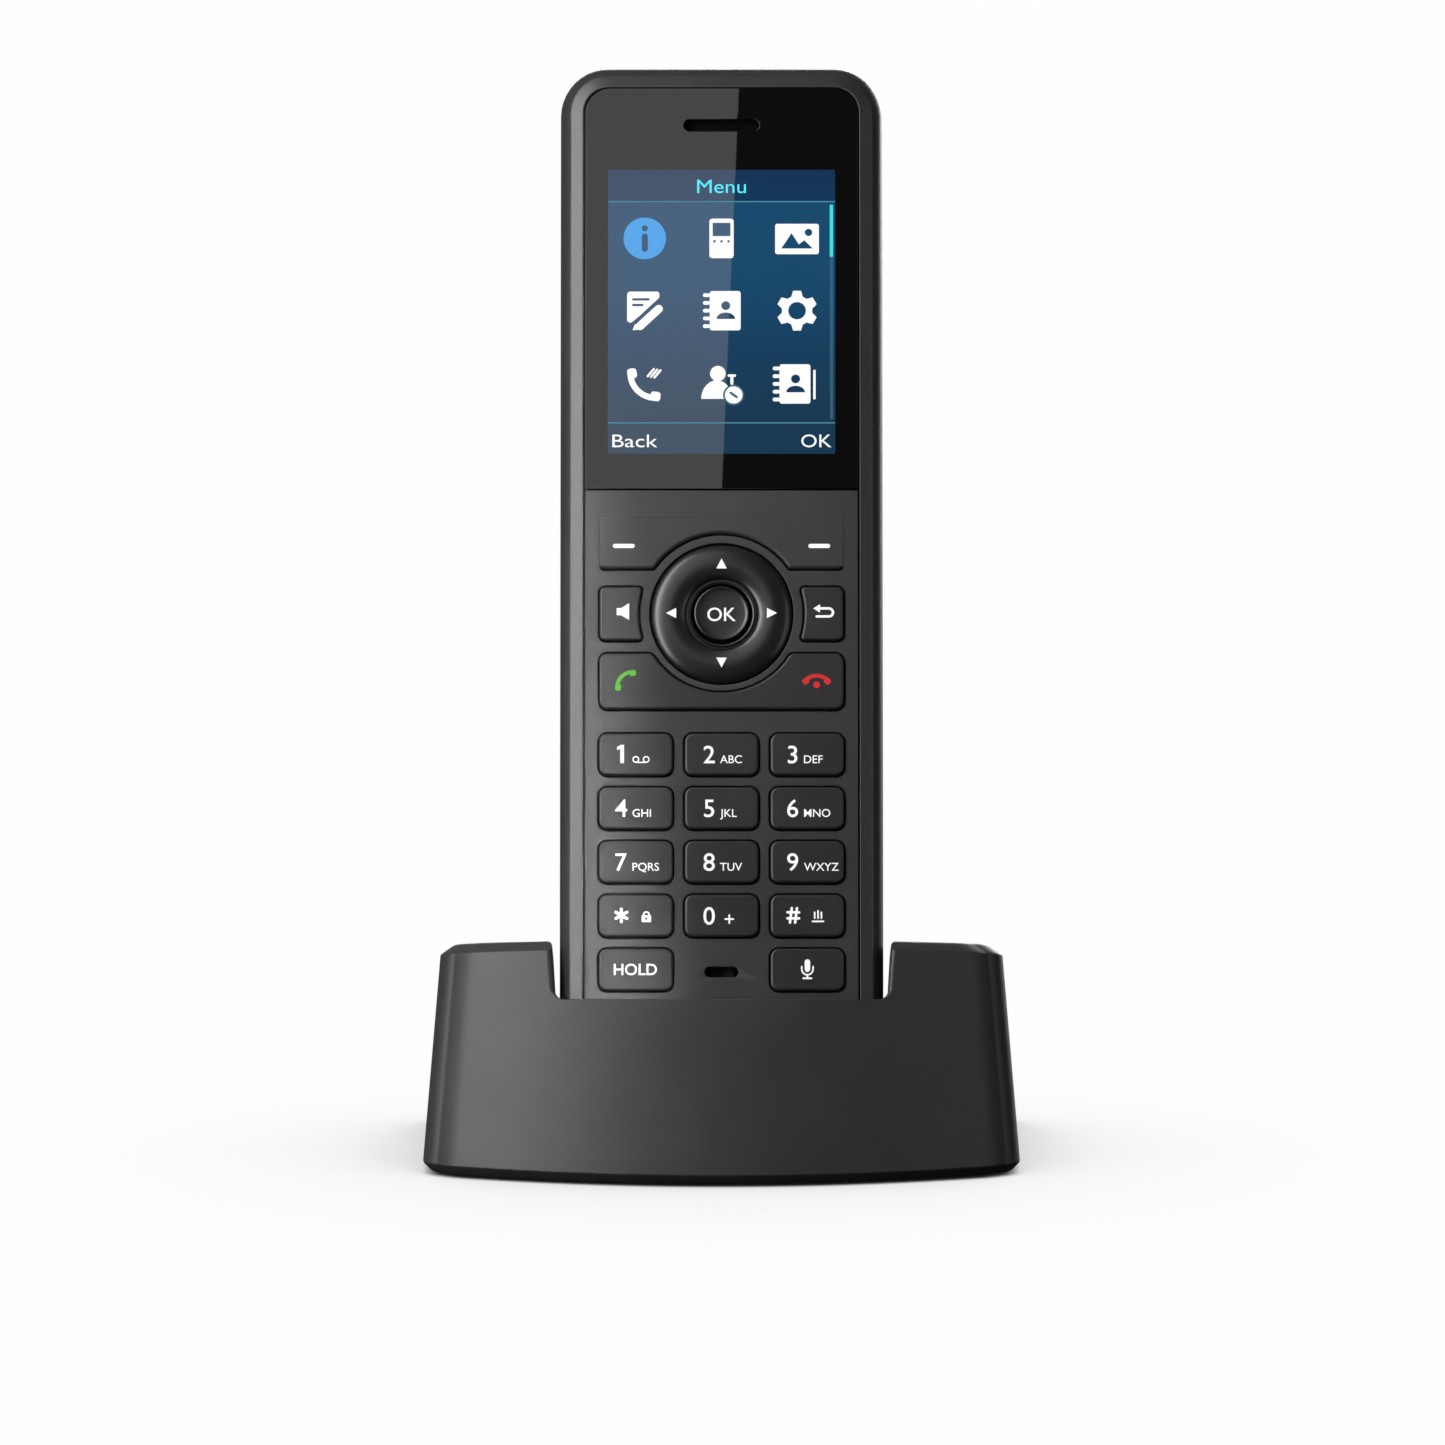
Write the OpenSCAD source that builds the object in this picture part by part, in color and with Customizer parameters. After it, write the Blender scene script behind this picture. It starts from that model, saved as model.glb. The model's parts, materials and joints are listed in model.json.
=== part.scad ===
// Cordless telephone handset standing in its charging cradle.
// Millimetres, +Z up, origin on the table under the middle of the cradle, front towards -Y.

/* [Handset] */
// Width of the handset
hs_w = 53; // [51:0.5:54]
// Length of the handset
hs_l = 175; // [174:0.5:180]
// Thickness of the handset
hs_t = 20.3; // [20:0.1:22]
// Radius of the handset's corners, seen from the front
hs_r = 8; // [6:0.5:10]
// Lean of the handset from upright, in degrees
lean = 18; // [16:0.5:19]

/* [Keys] */
// Width of a number key
key_w = 12.1; // [11:0.1:12.4]
// Height of a number key
key_h = 7.05; // [6:0.05:7.2]
// Distance between key columns
col_pitch = 14.05; // [13.9:0.01:14.1]
// Distance between key rows
row_pitch = 8.95; // [8.85:0.01:9]
// Gap between a key and the fascia around it
key_gap = 0.25; // [0.2:0.05:0.3]

/* [Cradle] */
// Width of the cradle at the table
cr_w = 98.2; // [95:0.1:104]
// Depth of the cradle at the table
cr_d = 76; // [76:0.5:84]
// Height of the cradle's shoulders
cr_h = 39.8; // [38:0.1:41]
// Height of the front lip
lip_z = 30.1; // [29.5:0.1:31]
// Radius of the curved front, seen from above
front_r = 97; // [94:1:140]

/* [Hidden] */
$fn = 32;

// Colours
dark = [0.10, 0.10, 0.10];
grey = [0.17, 0.17, 0.17];
gold = [0.85, 0.68, 0.30];
steel = [0.70, 0.70, 0.72];
board_green = [0.05, 0.25, 0.14];

// Handset depths, measured back from the ridge of the frame at 0 to hs_t
fascia_top = 0.15;
fascia_back = 2.0;
key_top = -0.5;
deck_top = 2.05;
deck_back = 3.25;
flange_top = 3.45;
flange_back = 4.05;
rocker_flange_top = 3.7;
rocker_flange_back = 4.25;
mat_top = 4.7;
mat_back = 5.4;
board_top = 6.0;
board_back = 7.0;
split = 8.5;
wall = 1.8;
bay_floor = 9.2;
door_back = hs_t;
door_front = hs_t - 1.6;

// Handset heights above its bottom end; the display and the keys hang from the top
fascia_half = hs_w / 2 - 4.1;
window_top = hs_l - 3.9;
window_bottom = hs_l - 71.27;
fascia_bottom = 3.9;
brow = hs_l - 76.1;
nav_v = hs_l - 92.2;
nav_r = 11.6;
nav_hole_r = 5.7;
ok_r = 4.95;
bank_r = 13.1;
bank_half = 20.08;
soft_low = nav_v + 7.2;
call_top = nav_v - 6.6;
call_low = nav_v - 16;
row_1 = nav_v - 23.5;
ear_v = hs_l - 10.2;
ear_l = 12.5;
ear_h = 2.0;
mic_v = row_1 - 4 * row_pitch - 0.35;
lcd_half = 18.7;
lcd_low = hs_l - 65.4;
lcd_high = hs_l - 17.7;
side_key_w = 7.5;
side_key_h = 9.1;
side_key_x = 16.28;
rocker_gap = 0.12;

// Battery bay
bay_half = 17.6;
bay_low = 54;
bay_high = 116;

// Headset jack, in the handset's side
jack_w = 12;
jack_v = 138;

// Screws through the handset's back
screw_places = [[-17, 12], [17, 12], [-17, hs_l - 9], [17, hs_l - 9]];

// The cradle's middle lies a little forward, so that the whole set is centred on Y = 0
mid_y = -1.65;
cr_front = mid_y - cr_d / 2;
cr_back = mid_y + cr_d / 2;

// Where the handset's bottom front edge stands in the cradle
seat_y = cr_front + 7.4;
seat_z = lip_z - 18.53;

// Cradle
foot_h = 0.5;
plate_t = 1.8;
plate_top = foot_h + plate_t;
shell_wall = 2.2;
front_lean = 14;
side_taper = 3.4;
top_slope = 12;
rear_slope = 32;
rear_z = 14;
foot_chamfer = 1.6;
crest_y = cr_front + cr_h * tan(front_lean);
crease_y = (rear_z - cr_h + cr_back * tan(rear_slope) - crest_y * tan(top_slope))
           / (tan(rear_slope) - tan(top_slope));
lip_slope = 8;
floor_slope = 14;
notch_low = hs_w / 2 + 0.75;
notch_high = hs_w / 2 + 1.2;
pocket_gap = 0.5;
pocket_side = 0.6;
floor_gap = 0.3;
pin_x = 8;
pin_w = 11.5;
boss_x = 38;
boss_front = mid_y - 20;
boss_rear = mid_y + 26;
inlet_w = 9;
inlet_h = 3.3;
inlet_z = 7.6;
board_z = inlet_z - inlet_h / 2 - 1.25;

// Arc of points round a centre, from angle a to angle b
function arc(cx, cy, r, a, b, n = 6) =
    [for (i = [0 : n]) let (t = a + (b - a) * i / n) [cx + r * cos(t), cy + r * sin(t)]];

// Rounded rectangle centred on the origin
function round_rect(w, h, r, n = 6) = concat(
    arc(w / 2 - r, h / 2 - r, r, 0, 90, n), arc(r - w / 2, h / 2 - r, r, 90, 180, n),
    arc(r - w / 2, r - h / 2, r, 180, 270, n), arc(w / 2 - r, r - h / 2, r, 270, 360, n));

// Puts a part that was drawn in the handset's own frame where the handset stands
module in_handset() {
    translate([0, seat_y, seat_z]) rotate([-lean, 0, 0]) children();
}

// Extrudes an outline, drawn across and up the handset, from depth w0 back to depth w1
module slab(w0, w1) {
    translate([0, w1, 0]) rotate([90, 0, 0]) linear_extrude(w1 - w0) children();
}

// Outline of the handset, drawn in by inset
module hs_outline(inset) {
    translate([0, hs_l / 2])
        polygon(round_rect(hs_w - 2 * inset, hs_l - 2 * inset, max(hs_r - inset, 1), 8));
}

// Smooth solid through outlines: each step is [depth, inset]
module hs_loft(steps) {
    hull() for (s = steps) slab(s[0], s[0] + 0.02) hs_outline(s[1]);
}

// ---------- key outlines, grown by g ----------

module key_outline(col, row, g = 0) {
    translate([col * col_pitch, row_1 - row * row_pitch])
        polygon(round_rect(key_w + 2 * g, key_h + 2 * g, 1.4 + g, 4));
}

module round_outline(r) {
    translate([0, nav_v]) circle(r, $fn = 64);
}

// side is -1 for the left key and 1 for the right one
module side_key_outline(side, g = 0) {
    difference() {
        translate([side * side_key_x, nav_v])
            polygon(round_rect(side_key_w + 2 * g, side_key_h + 2 * g, 1 + g, 4));
        round_outline(bank_r + 0.5 - g);
    }
}

module soft_outline(g = 0, width = bank_half) {
    difference() {
        translate([-width - g, soft_low - g])
            square([2 * (width + g), brow - soft_low + 2 * g]);
        round_outline(bank_r - g);
    }
}

module call_outline(g = 0) {
    difference() {
        translate([0, (call_low + call_top) / 2])
            polygon(round_rect(2 * (bank_half + g), call_top - call_low + 2 * g, 1.4 + g, 4));
        round_outline(bank_r - g);
    }
}

// Every opening that the keys need, with the same gap round each
module key_openings(g, soft_g) {
    for (row = [0 : 4], col = [-1 : 1])
        if (!(row == 4 && col == 0)) key_outline(col, row, g);
    round_outline(nav_r + g);
    for (side = [-1, 1]) side_key_outline(side, g);
    soft_outline(soft_g);
    call_outline(g);
}

// ---------- handset ----------

module slot_outline(x, v, l, h) {
    hull() for (s = [-1, 1]) translate([x + s * (l - h) / 2, v]) circle(h / 2);
}

module front_housing() {
    color(grey) in_handset() difference() {
        union() {
            difference() {
                hs_loft([[0, 3.3], [0.6, 1.65], [1.6, 0.5], [3.5, 0], [split - 0.02, 0]]);
                // inside, behind the deck
                slab(deck_back, split + 1) hs_outline(wall);
            }
            for (p = screw_places) post(p, deck_back - 0.1, board_top - 0.05, 2.6);
        }
        for (p = screw_places) post(p, deck_back + 0.6, board_top + 1, 1.3);
        // seat of the fascia and the window
        slab(-1, deck_top) translate([0, (fascia_bottom + window_top) / 2])
            polygon(round_rect(2 * fascia_half + 0.6, window_top - fascia_bottom + 0.6, 4.5));
        // openings through the deck
        slab(deck_top - 1, deck_back + 1) {
            key_openings(key_gap, rocker_gap);
            translate([-lcd_half - 1, lcd_low - 1])
                square([2 * lcd_half + 2, lcd_high - lcd_low + 2]);
            slot_outline(0, ear_v, ear_l + 1, ear_h + 1);
            slot_outline(0, mic_v, 3, 1.6);
        }
    }
}

// Cylinder through the handset's thickness, from depth w0 back to depth w1
module post(p, w0, w1, r) {
    translate([p[0], w0, p[1]]) rotate([-90, 0, 0]) cylinder(r = r, h = w1 - w0);
}

module rear_housing() {
    back = [[split, 0], [12, 0], [15.5, 0.7], [18, 2.3], [19.4, 4.2], [hs_t - 0.02, 6.5]];
    inner = [[split - 1, wall], [12, wall], [15.2, 2.6], [hs_t - wall - 0.02, 5.2]];
    color(grey) in_handset() difference() {
        union() {
            difference() {
                hs_loft(back);
                hs_loft(inner);
            }
            // tub that holds the battery
            slab(bay_floor, hs_t - wall + 0.1) translate([0, (bay_low + bay_high) / 2])
                square([2 * bay_half + 2.4, bay_high - bay_low + 2.4], center = true);
            for (p = screw_places) post(p, split + 0.5, hs_t - wall + 0.1, 3);
        }
        // bay, and the step that the door lies in
        slab(bay_floor + 1.1, hs_t + 1) translate([0, (bay_low + bay_high) / 2])
            square([2 * bay_half, bay_high - bay_low], center = true);
        slab(door_front - 0.1, hs_t + 1) door_outline(0.2);
        for (p = screw_places) {
            post(p, split - 1, hs_t + 1, 1.3);
            post(p, 15.4, hs_t + 1, 2.5);
        }
        // loudspeaker slots
        for (i = [-2 : 2])
            slab(hs_t - wall - 3, hs_t + 1) slot_outline(0, 137 + 3.2 * i, 15 - 2.2 * abs(i), 1.4);
        // windows for the charging pads
        for (s = [-1, 1])
            translate([s * pin_x - 2.2, split - 0.1, -1]) cube([4.4, 6.2, 4]);
        // headset jack
        translate([-hs_w / 2 - 1, jack_w, jack_v]) rotate([0, 90, 0]) cylinder(r = 3.05, h = 5);
    }
}

module door_outline(g = 0) {
    translate([0, (bay_low + bay_high) / 2])
        polygon(round_rect(2 * bay_half + 3.6 + 2 * g, bay_high - bay_low + 12 + 2 * g, 3 + g));
}

module battery_door() {
    color(grey) in_handset() {
        difference() {
            union() {
                slab(door_front, door_back) door_outline(-0.1);
                // hooks at the lower end and the catch at the upper end
                for (x = [-10, 10]) translate([x - 2, door_front - 1.4, bay_low + 0.3])
                    cube([4, 1.5, 1.2]);
                translate([-4, door_front - 1.4, bay_high - 1.5]) cube([8, 1.5, 1.2]);
            }
            // thumb ridges
            for (i = [0 : 4]) translate([-8, door_back - 0.4, bay_high - 4 - 1.8 * i])
                cube([16, 1, 0.8]);
        }
    }
}

module face_plate() {
    color(grey) in_handset() difference() {
        slab(fascia_top, fascia_back) difference() {
            translate([0, (fascia_bottom + window_top) / 2])
                polygon(round_rect(2 * fascia_half, window_top - fascia_bottom, 4.2));
            translate([-40, window_bottom - 0.25]) square([80, 100]);
        }
        slab(-1, 4) {
            key_openings(key_gap, rocker_gap);
            slot_outline(0, mic_v, 5.6, 1.75);
        }
    }
}

module display_window() {
    color([0.02, 0.02, 0.02]) in_handset() slab(fascia_top, fascia_back - 0.4) difference() {
        intersection() {
            translate([0, (fascia_bottom + window_top) / 2])
                polygon(round_rect(2 * fascia_half, window_top - fascia_bottom, 4.2));
            translate([-40, window_bottom]) square([80, 100]);
        }
        slot_outline(0, ear_v, ear_l, ear_h);
    }
}

module lcd_panel() {
    color([0.05, 0.2, 0.4]) in_handset() slab(1.8, 3.4)
        translate([-lcd_half - 0.7, lcd_low - 0.7])
            square([2 * lcd_half + 1.4, lcd_high - lcd_low + 1.4]);
}

module lcd_backlight() {
    color([0.9, 0.9, 0.9]) in_handset() slab(3.4, 5.2)
        translate([-lcd_half - 1.6, lcd_low - 2.4])
            square([2 * lcd_half + 3.2, lcd_high - lcd_low + 4.8]);
}

module earpiece() {
    color(dark) in_handset() slab(deck_back + 0.1, 5.8) slot_outline(0, ear_v, 15, 8);
}

module earpiece_mesh() {
    color(dark) in_handset() slab(1.7, deck_top + 0.35) slot_outline(0, ear_v, ear_l + 0.6, ear_h + 0.6);
}

module main_board() {
    color(board_green) in_handset() difference() {
        slab(board_top, board_back) translate([-22.5, 6]) square([45, hs_l - 12]);
        for (p = screw_places) post(p, board_top - 1, board_back + 1, 1.6);
    }
}

module keypad_mat() {
    color([0.35, 0.35, 0.36]) in_handset() difference() {
        slab(mat_top, mat_back) translate([-21.5, 16]) square([43, brow - 16]);
        slab(mat_top - 1, mat_back + 1) slot_outline(0, mic_v, 5, 5);
    }
}

module dome_switches() {
    places = concat(
        [for (row = [0 : 4], col = [-1 : 1])
            if (!(row == 4 && col == 0)) [col * col_pitch, row_1 - row * row_pitch]],
        [[0, nav_v], [-8.5, nav_v], [8.5, nav_v], [0, nav_v + 8.5], [0, nav_v - 8.5]],
        [for (s = [-1, 1], v = [soft_low + 4, nav_v, call_low + 4]) [s * side_key_x, v]]);
    color(steel) in_handset() for (p = places)
        translate([p[0], mat_back + 0.1, p[1]]) rotate([-90, 0, 0])
            cylinder(r = 2, h = board_top - mat_back - 0.1);
}

module microphone() {
    color(steel) in_handset() translate([0, deck_back + 0.15, mic_v]) rotate([-90, 0, 0])
        cylinder(r = 2, h = 2.4);
}

module loudspeaker() {
    color(dark) in_handset() translate([0, 12.4, 137]) rotate([-90, 0, 0]) {
        cylinder(r = 9.5, h = 5.2);
        translate([0, 0, -3]) cylinder(r = 6, h = 3.1);
    }
}

module headset_jack() {
    color(dark) in_handset() difference() {
        union() {
            translate([-hs_w / 2 + 2.9, jack_w - 3, jack_v - 3.2]) cube([12.3, 6, 6.4]);
            translate([-hs_w / 2 + 0.2, jack_w, jack_v]) rotate([0, 90, 0]) cylinder(r = 2.8, h = 3);
        }
        translate([-hs_w / 2 - 1, jack_w, jack_v]) rotate([0, 90, 0]) cylinder(r = 1.8, h = 14.2);
    }
}

module antenna() {
    color(gold) in_handset() slab(board_back, board_back + 0.5) difference() {
        translate([-12, hs_l - 9]) square([24, 6]);
        translate([-9, hs_l - 10]) square([18, 5]);
    }
}

module battery_pack() {
    color([0.16, 0.22, 0.36]) in_handset() slab(10.5, door_front - 1.7)
        translate([0, (bay_low + bay_high) / 2])
            polygon(round_rect(2 * bay_half - 0.8, bay_high - bay_low - 3.6, 1.5));
}

module battery_contacts() {
    color(gold) in_handset() for (x = [-5, 0, 5])
        translate([x - 1, 11, bay_low + 0.1]) cube([2, 4, 1.5]);
}

module charge_pads() {
    color(steel) in_handset() for (s = [-1, 1]) {
        translate([s * pin_x - 2, split + 0.1, 0]) cube([4, 5.8, 0.6]);
        translate([s * pin_x - 2, split + 0.1, 0]) cube([4, 0.6, 5]);
    }
}

module housing_screws() {
    color(steel) in_handset() for (p = screw_places) difference() {
        union() {
            post(p, deck_back + 1, 16, 1.15);
            post(p, 15.5, 16.9, 2.1);
        }
        translate([p[0], 16.3, p[1]]) rotate([-90, 0, 0]) cylinder(r = 0.9, h = 1, $fn = 6);
    }
}

// ---------- keys ----------

// Key cap: a stem that passes the fascia, with a flange that the deck keeps in.
// The children are the outline and the outline of its flange.
module cap(top, flange_w0 = flange_top, flange_w1 = flange_back) {
    color(dark) in_handset() {
        slab(top, flange_w0 + 0.1) children(0);
        slab(flange_w0, flange_w1) children(1);
    }
}

module number_key(col, row) {
    cap(key_top) {
        key_outline(col, row);
        key_outline(col, row, 0.55);
    }
}

module side_key(side) {
    cap(key_top) {
        side_key_outline(side);
        side_key_outline(side, 0.5);
    }
}

module soft_key_rocker() {
    cap(fascia_top, rocker_flange_top, rocker_flange_back) {
        soft_outline();
        soft_outline(0.5);
    }
}

module call_end_rocker() {
    cap(key_top, rocker_flange_top, rocker_flange_back) {
        call_outline();
        call_outline(0.5);
    }
}

// Soft collar under the ring, which lets it tip both ways
module nav_collar() {
    color([0.35, 0.35, 0.36]) in_handset() slab(3.4, 4.2) difference() {
        round_outline(10.5);
        round_outline(6.1);
    }
}

module nav_ring() {
    color(dark) in_handset() slab(key_top - 0.2, 3.0) difference() {
        round_outline(nav_r);
        round_outline(nav_hole_r);
    }
}

module ok_key() {
    color(dark) in_handset() slab(key_top - 0.1, 4.1) round_outline(ok_r);
}

// ---------- cradle ----------

// Plan of the cradle at height z, drawn in by inset on all sides
function plan(z, inset = 0) =
    let (half = cr_w / 2 - side_taper * z / cr_h - inset,
         front = cr_front + z * tan(front_lean) + inset,
         back = cr_back - inset,
         r = 4, side = front + half * half / (2 * front_r) + 0.85 * r)
    concat(
        [for (i = [-12 : 12]) let (x = (half - r) * i / 12) [x, front + x * x / (2 * front_r)]],
        arc(half - r, side, r, -70, 0, 5),
        [[half, crease_y]],
        arc(half - r, back - r, r, 0, 90, 5),
        arc(r - half, back - r, r, 90, 180, 5),
        [[-half, crease_y]],
        arc(r - half, side, r, 180, 250, 5));

// Outline of the cradle at a fixed height
function level_ring(z, inset = 0) = [for (p = plan(z, inset)) [p[0], p[1], z]];

// Outline of the cradle where its sides meet the sloping top, drop below it
function top_ring(drop, inset = 0) =
    let (low = plan(0, inset), high = plan(cr_h, inset))
    [for (i = [0 : len(low) - 1])
        let (a = low[i], b = high[i], k = (b[1] - a[1]) / cr_h,
             z1 = (cr_h - drop - (a[1] - crest_y) * tan(top_slope)) / (1 + k * tan(top_slope)),
             z2 = (rear_z - drop - (a[1] - cr_back) * tan(rear_slope)) / (1 + k * tan(rear_slope)),
             z = min(z1, z2))
        [a[0] + (b[0] - a[0]) * z / cr_h, a[1] + k * z, z]];

// Convex solid round all the points
module wrap(points) {
    hull() polyhedron(points, [[for (i = [0 : len(points) - 1]) i]]);
}

// Outside of the cradle before the notch is cut
module cradle_block() {
    wrap(concat(level_ring(foot_h, foot_chamfer), level_ring(foot_h + foot_chamfer),
        top_ring(2), top_ring(0.6, 0.9), top_ring(0, 2.2)));
}

// The same, drawn in by inset and open below
module cradle_inside(inset) {
    wrap(concat(level_ring(foot_h - 1, inset), top_ring(inset, inset)));
}

// Front view of the notch between the shoulders, grown by g
module notch_outline(g = 0) {
    r = 1.5 + g;
    low = notch_low + g;
    polygon(concat(
        arc(low - r, r - g, r, -90, 0, 5),
        [[notch_high + g, cr_h - lip_z + 2], [notch_high + g, 90]],
        [[-notch_high - g, 90], [-notch_high - g, cr_h - lip_z + 2]],
        arc(r - low, r - g, r, 180, 270, 5)));
}

// What the notch cuts away: the lip slopes back gently, the floor behind it more
module notch(g = 0) {
    bend_y = seat_y + 7;
    bend_z = lip_z - (bend_y - seat_y) * tan(lip_slope);
    for (slope = [lip_slope, floor_slope])
        translate([0, bend_y, bend_z]) rotate([-slope, 0, 0])
            translate([0, 80, 0]) rotate([90, 0, 0]) linear_extrude(160) notch_outline(g);
}

// Space that the handset's lower end stands in, grown by g
module pocket(g = 0) {
    half = hs_w / 2 + pocket_side + g;
    in_handset() slab(-pocket_gap - g, hs_t + pocket_gap + g)
        translate([0, 25 - floor_gap - g]) polygon(round_rect(2 * half, 50, 6 + g, 6));
}

// Rest behind the handset, narrower than the handset
module backrest() {
    in_handset() slab(hs_t + pocket_gap, hs_t + pocket_gap + 4)
        translate([0, 23]) polygon(round_rect(36, 38, 5));
}

module cradle_shell() {
    screws = [for (x = [-boss_x, boss_x], y = [boss_front, boss_rear]) [x, y]];
    color(grey) difference() {
        union() {
            difference() {
                union() {
                    difference() {
                        cradle_block();
                        cradle_inside(shell_wall);
                    }
                    // linings of the notch and of the pocket, and the screw posts
                    intersection() {
                        union() {
                            notch(shell_wall);
                            pocket(1.6);
                            for (p = screws) translate([p[0], p[1], plate_top])
                                cylinder(r = 3.2, h = 40);
                        }
                        difference() {
                            cradle_inside(shell_wall - 0.3);
                            translate([-60, -60, -1]) cube([120, 120, plate_top + 1]);
                        }
                    }
                }
                notch();
            }
            backrest();
        }
        pocket();
        for (p = screws) translate([p[0], p[1], 0]) cylinder(r = 1.3, h = plate_top + 7);
        // windows for the pins
        in_handset() for (s = [-1, 1])
            translate([s * pin_x, pin_w, -6]) cylinder(r = 1.25, h = 8);
        // window for the power inlet
        translate([-inlet_w / 2 - 0.3, cr_back - 8, inlet_z - inlet_h / 2 - 0.3])
            cube([inlet_w + 0.6, 12, inlet_h + 0.6]);
    }
}

module cradle_base_plate() {
    color(dark) difference() {
        union() {
            translate([0, 0, foot_h]) linear_extrude(plate_t)
                polygon(plan(foot_h + foot_chamfer, shell_wall + 0.3));
            for (x = [-14, 14], y = [mid_y + 14, mid_y + 31]) translate([x, y, plate_top - 0.1])
                cylinder(r = 1.5, h = board_z - plate_top + 0.1);
        }
        for (x = [-boss_x, boss_x], y = [boss_front, boss_rear]) translate([x, y, 0]) {
            cylinder(r = 1.5, h = 5);
            cylinder(r = 2.7, h = foot_h + 1.2);
        }
    }
}

module cradle_feet() {
    color([0.06, 0.06, 0.06]) for (x = [-30, 30], y = [mid_y - 22, mid_y + 28])
        translate([x, y, 0]) cylinder(r = 5, h = foot_h);
}

module cradle_screws() {
    color(steel) for (x = [-boss_x, boss_x], y = [boss_front, boss_rear])
        translate([x, y, foot_h + 0.2]) difference() {
            union() {
                cylinder(r = 2.4, h = 1);
                cylinder(r = 1.2, h = 7);
            }
            translate([0, 0, -0.1]) cylinder(r = 0.9, h = 0.8, $fn = 6);
        }
}

module cradle_board() {
    color(board_green) translate([-16, mid_y + 12, board_z]) cube([32, 21, 1.2]);
}

module power_inlet() {
    y0 = cr_back - 8;
    color(steel) difference() {
        translate([0, y0, inlet_z]) rotate([-90, 0, 0]) linear_extrude(7.6)
            polygon(round_rect(inlet_w, inlet_h, 1.4));
        translate([0, y0 + 1, inlet_z]) rotate([-90, 0, 0]) linear_extrude(8)
            polygon(round_rect(inlet_w - 0.7, inlet_h - 0.7, 1.1));
    }
    color(dark) translate([-3.3, y0 + 0.9, inlet_z - 0.35]) cube([6.6, 5, 0.7]);
}

// Holder of the two spring pins, under the pocket's floor
module contact_block() {
    color(dark) in_handset() difference() {
        translate([-12, pin_w - 2.9, -4.6]) cube([24, 5.8, 2.65]);
        for (s = [-1, 1]) translate([s * pin_x, pin_w, -4.2]) cylinder(r = 1.65, h = 6);
    }
}

module charge_pin(s) {
    color(gold) in_handset() translate([s * pin_x, pin_w, 0]) {
        translate([0, 0, -2.4]) cylinder(r = 1, h = 2.35);
        translate([0, 0, -2.7]) cylinder(r = 1.5, h = 0.6);
        translate([0, 0, -3.4]) cylinder(r = 0.6, h = 0.8);
    }
}

cradle_shell();
cradle_base_plate();
cradle_feet();
cradle_screws();
cradle_board();
power_inlet();
contact_block();
charge_pin(-1);  // charge_pin_left
charge_pin(1);  // charge_pin_right
front_housing();
rear_housing();
face_plate();
display_window();
lcd_panel();
lcd_backlight();
earpiece();
earpiece_mesh();
main_board();
keypad_mat();
dome_switches();
microphone();
loudspeaker();
headset_jack();
antenna();
battery_pack();
battery_contacts();
charge_pads();
housing_screws();
battery_door();
soft_key_rocker();
side_key(-1);  // speaker_key
side_key(1);  // back_key
nav_collar();
nav_ring();
ok_key();
call_end_rocker();
number_key(-1, 0);  // key_1
number_key(0, 0);  // key_2
number_key(1, 0);  // key_3
number_key(-1, 1);  // key_4
number_key(0, 1);  // key_5
number_key(1, 1);  // key_6
number_key(-1, 2);  // key_7
number_key(0, 2);  // key_8
number_key(1, 2);  // key_9
number_key(-1, 3);  // key_star
number_key(0, 3);  // key_0
number_key(1, 3);  // key_hash
number_key(-1, 4);  // key_hold
number_key(1, 4);  // key_mute
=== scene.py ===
# %% [markdown]
# # A cordless phone in its charging cradle
#
# The solid model of this phone already exists: every part, at its real size and place. This lesson
# gives it its looks in Blender. Each step says what the piece is on the real phone, how it could be
# made, and why it is made the way it is here.

# %% Load the solid model
import bpy
import bmesh
import json
import math
from mathutils import Matrix, Vector

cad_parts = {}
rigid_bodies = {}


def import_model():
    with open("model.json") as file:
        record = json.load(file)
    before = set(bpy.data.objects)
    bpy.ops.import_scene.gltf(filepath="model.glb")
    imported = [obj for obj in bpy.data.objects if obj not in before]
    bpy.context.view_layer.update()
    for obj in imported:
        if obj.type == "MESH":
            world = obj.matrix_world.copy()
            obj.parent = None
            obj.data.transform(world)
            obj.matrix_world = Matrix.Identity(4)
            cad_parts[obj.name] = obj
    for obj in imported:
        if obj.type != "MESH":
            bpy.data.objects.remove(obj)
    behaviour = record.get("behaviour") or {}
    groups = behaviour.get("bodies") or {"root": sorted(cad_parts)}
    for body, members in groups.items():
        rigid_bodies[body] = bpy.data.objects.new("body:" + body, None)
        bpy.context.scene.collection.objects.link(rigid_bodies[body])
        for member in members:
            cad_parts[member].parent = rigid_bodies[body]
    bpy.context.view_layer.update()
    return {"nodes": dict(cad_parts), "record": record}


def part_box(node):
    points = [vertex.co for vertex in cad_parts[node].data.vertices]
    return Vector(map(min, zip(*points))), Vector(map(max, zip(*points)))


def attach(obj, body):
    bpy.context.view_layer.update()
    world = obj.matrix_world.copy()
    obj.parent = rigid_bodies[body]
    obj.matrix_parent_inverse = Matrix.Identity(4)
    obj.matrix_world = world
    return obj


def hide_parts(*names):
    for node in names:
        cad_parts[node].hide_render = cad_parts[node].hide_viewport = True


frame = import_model()
joints = {joint["name"]: joint for joint in frame["record"]["behaviour"]["joints"]}
MM = 0.001

# %% [markdown]
# ## A flat drawing board for the handset
#
# The handset leans back in its cradle, which makes it awkward to draw on. So every handset part is
# drawn flat, in millimetres: x to the right, y up the handset, z towards the person who holds it.
# One matrix then stands the finished mesh up. The matrix comes from the solid model itself: the lift
# joint slides along the handset, and a key's joint goes straight in.

# %% The handset's own axes
up_axis = Vector(joints["handset_lift"]["axis"]).normalized()
in_axis = Vector(joints["press_key_5"]["axis"]).normalized()


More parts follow.
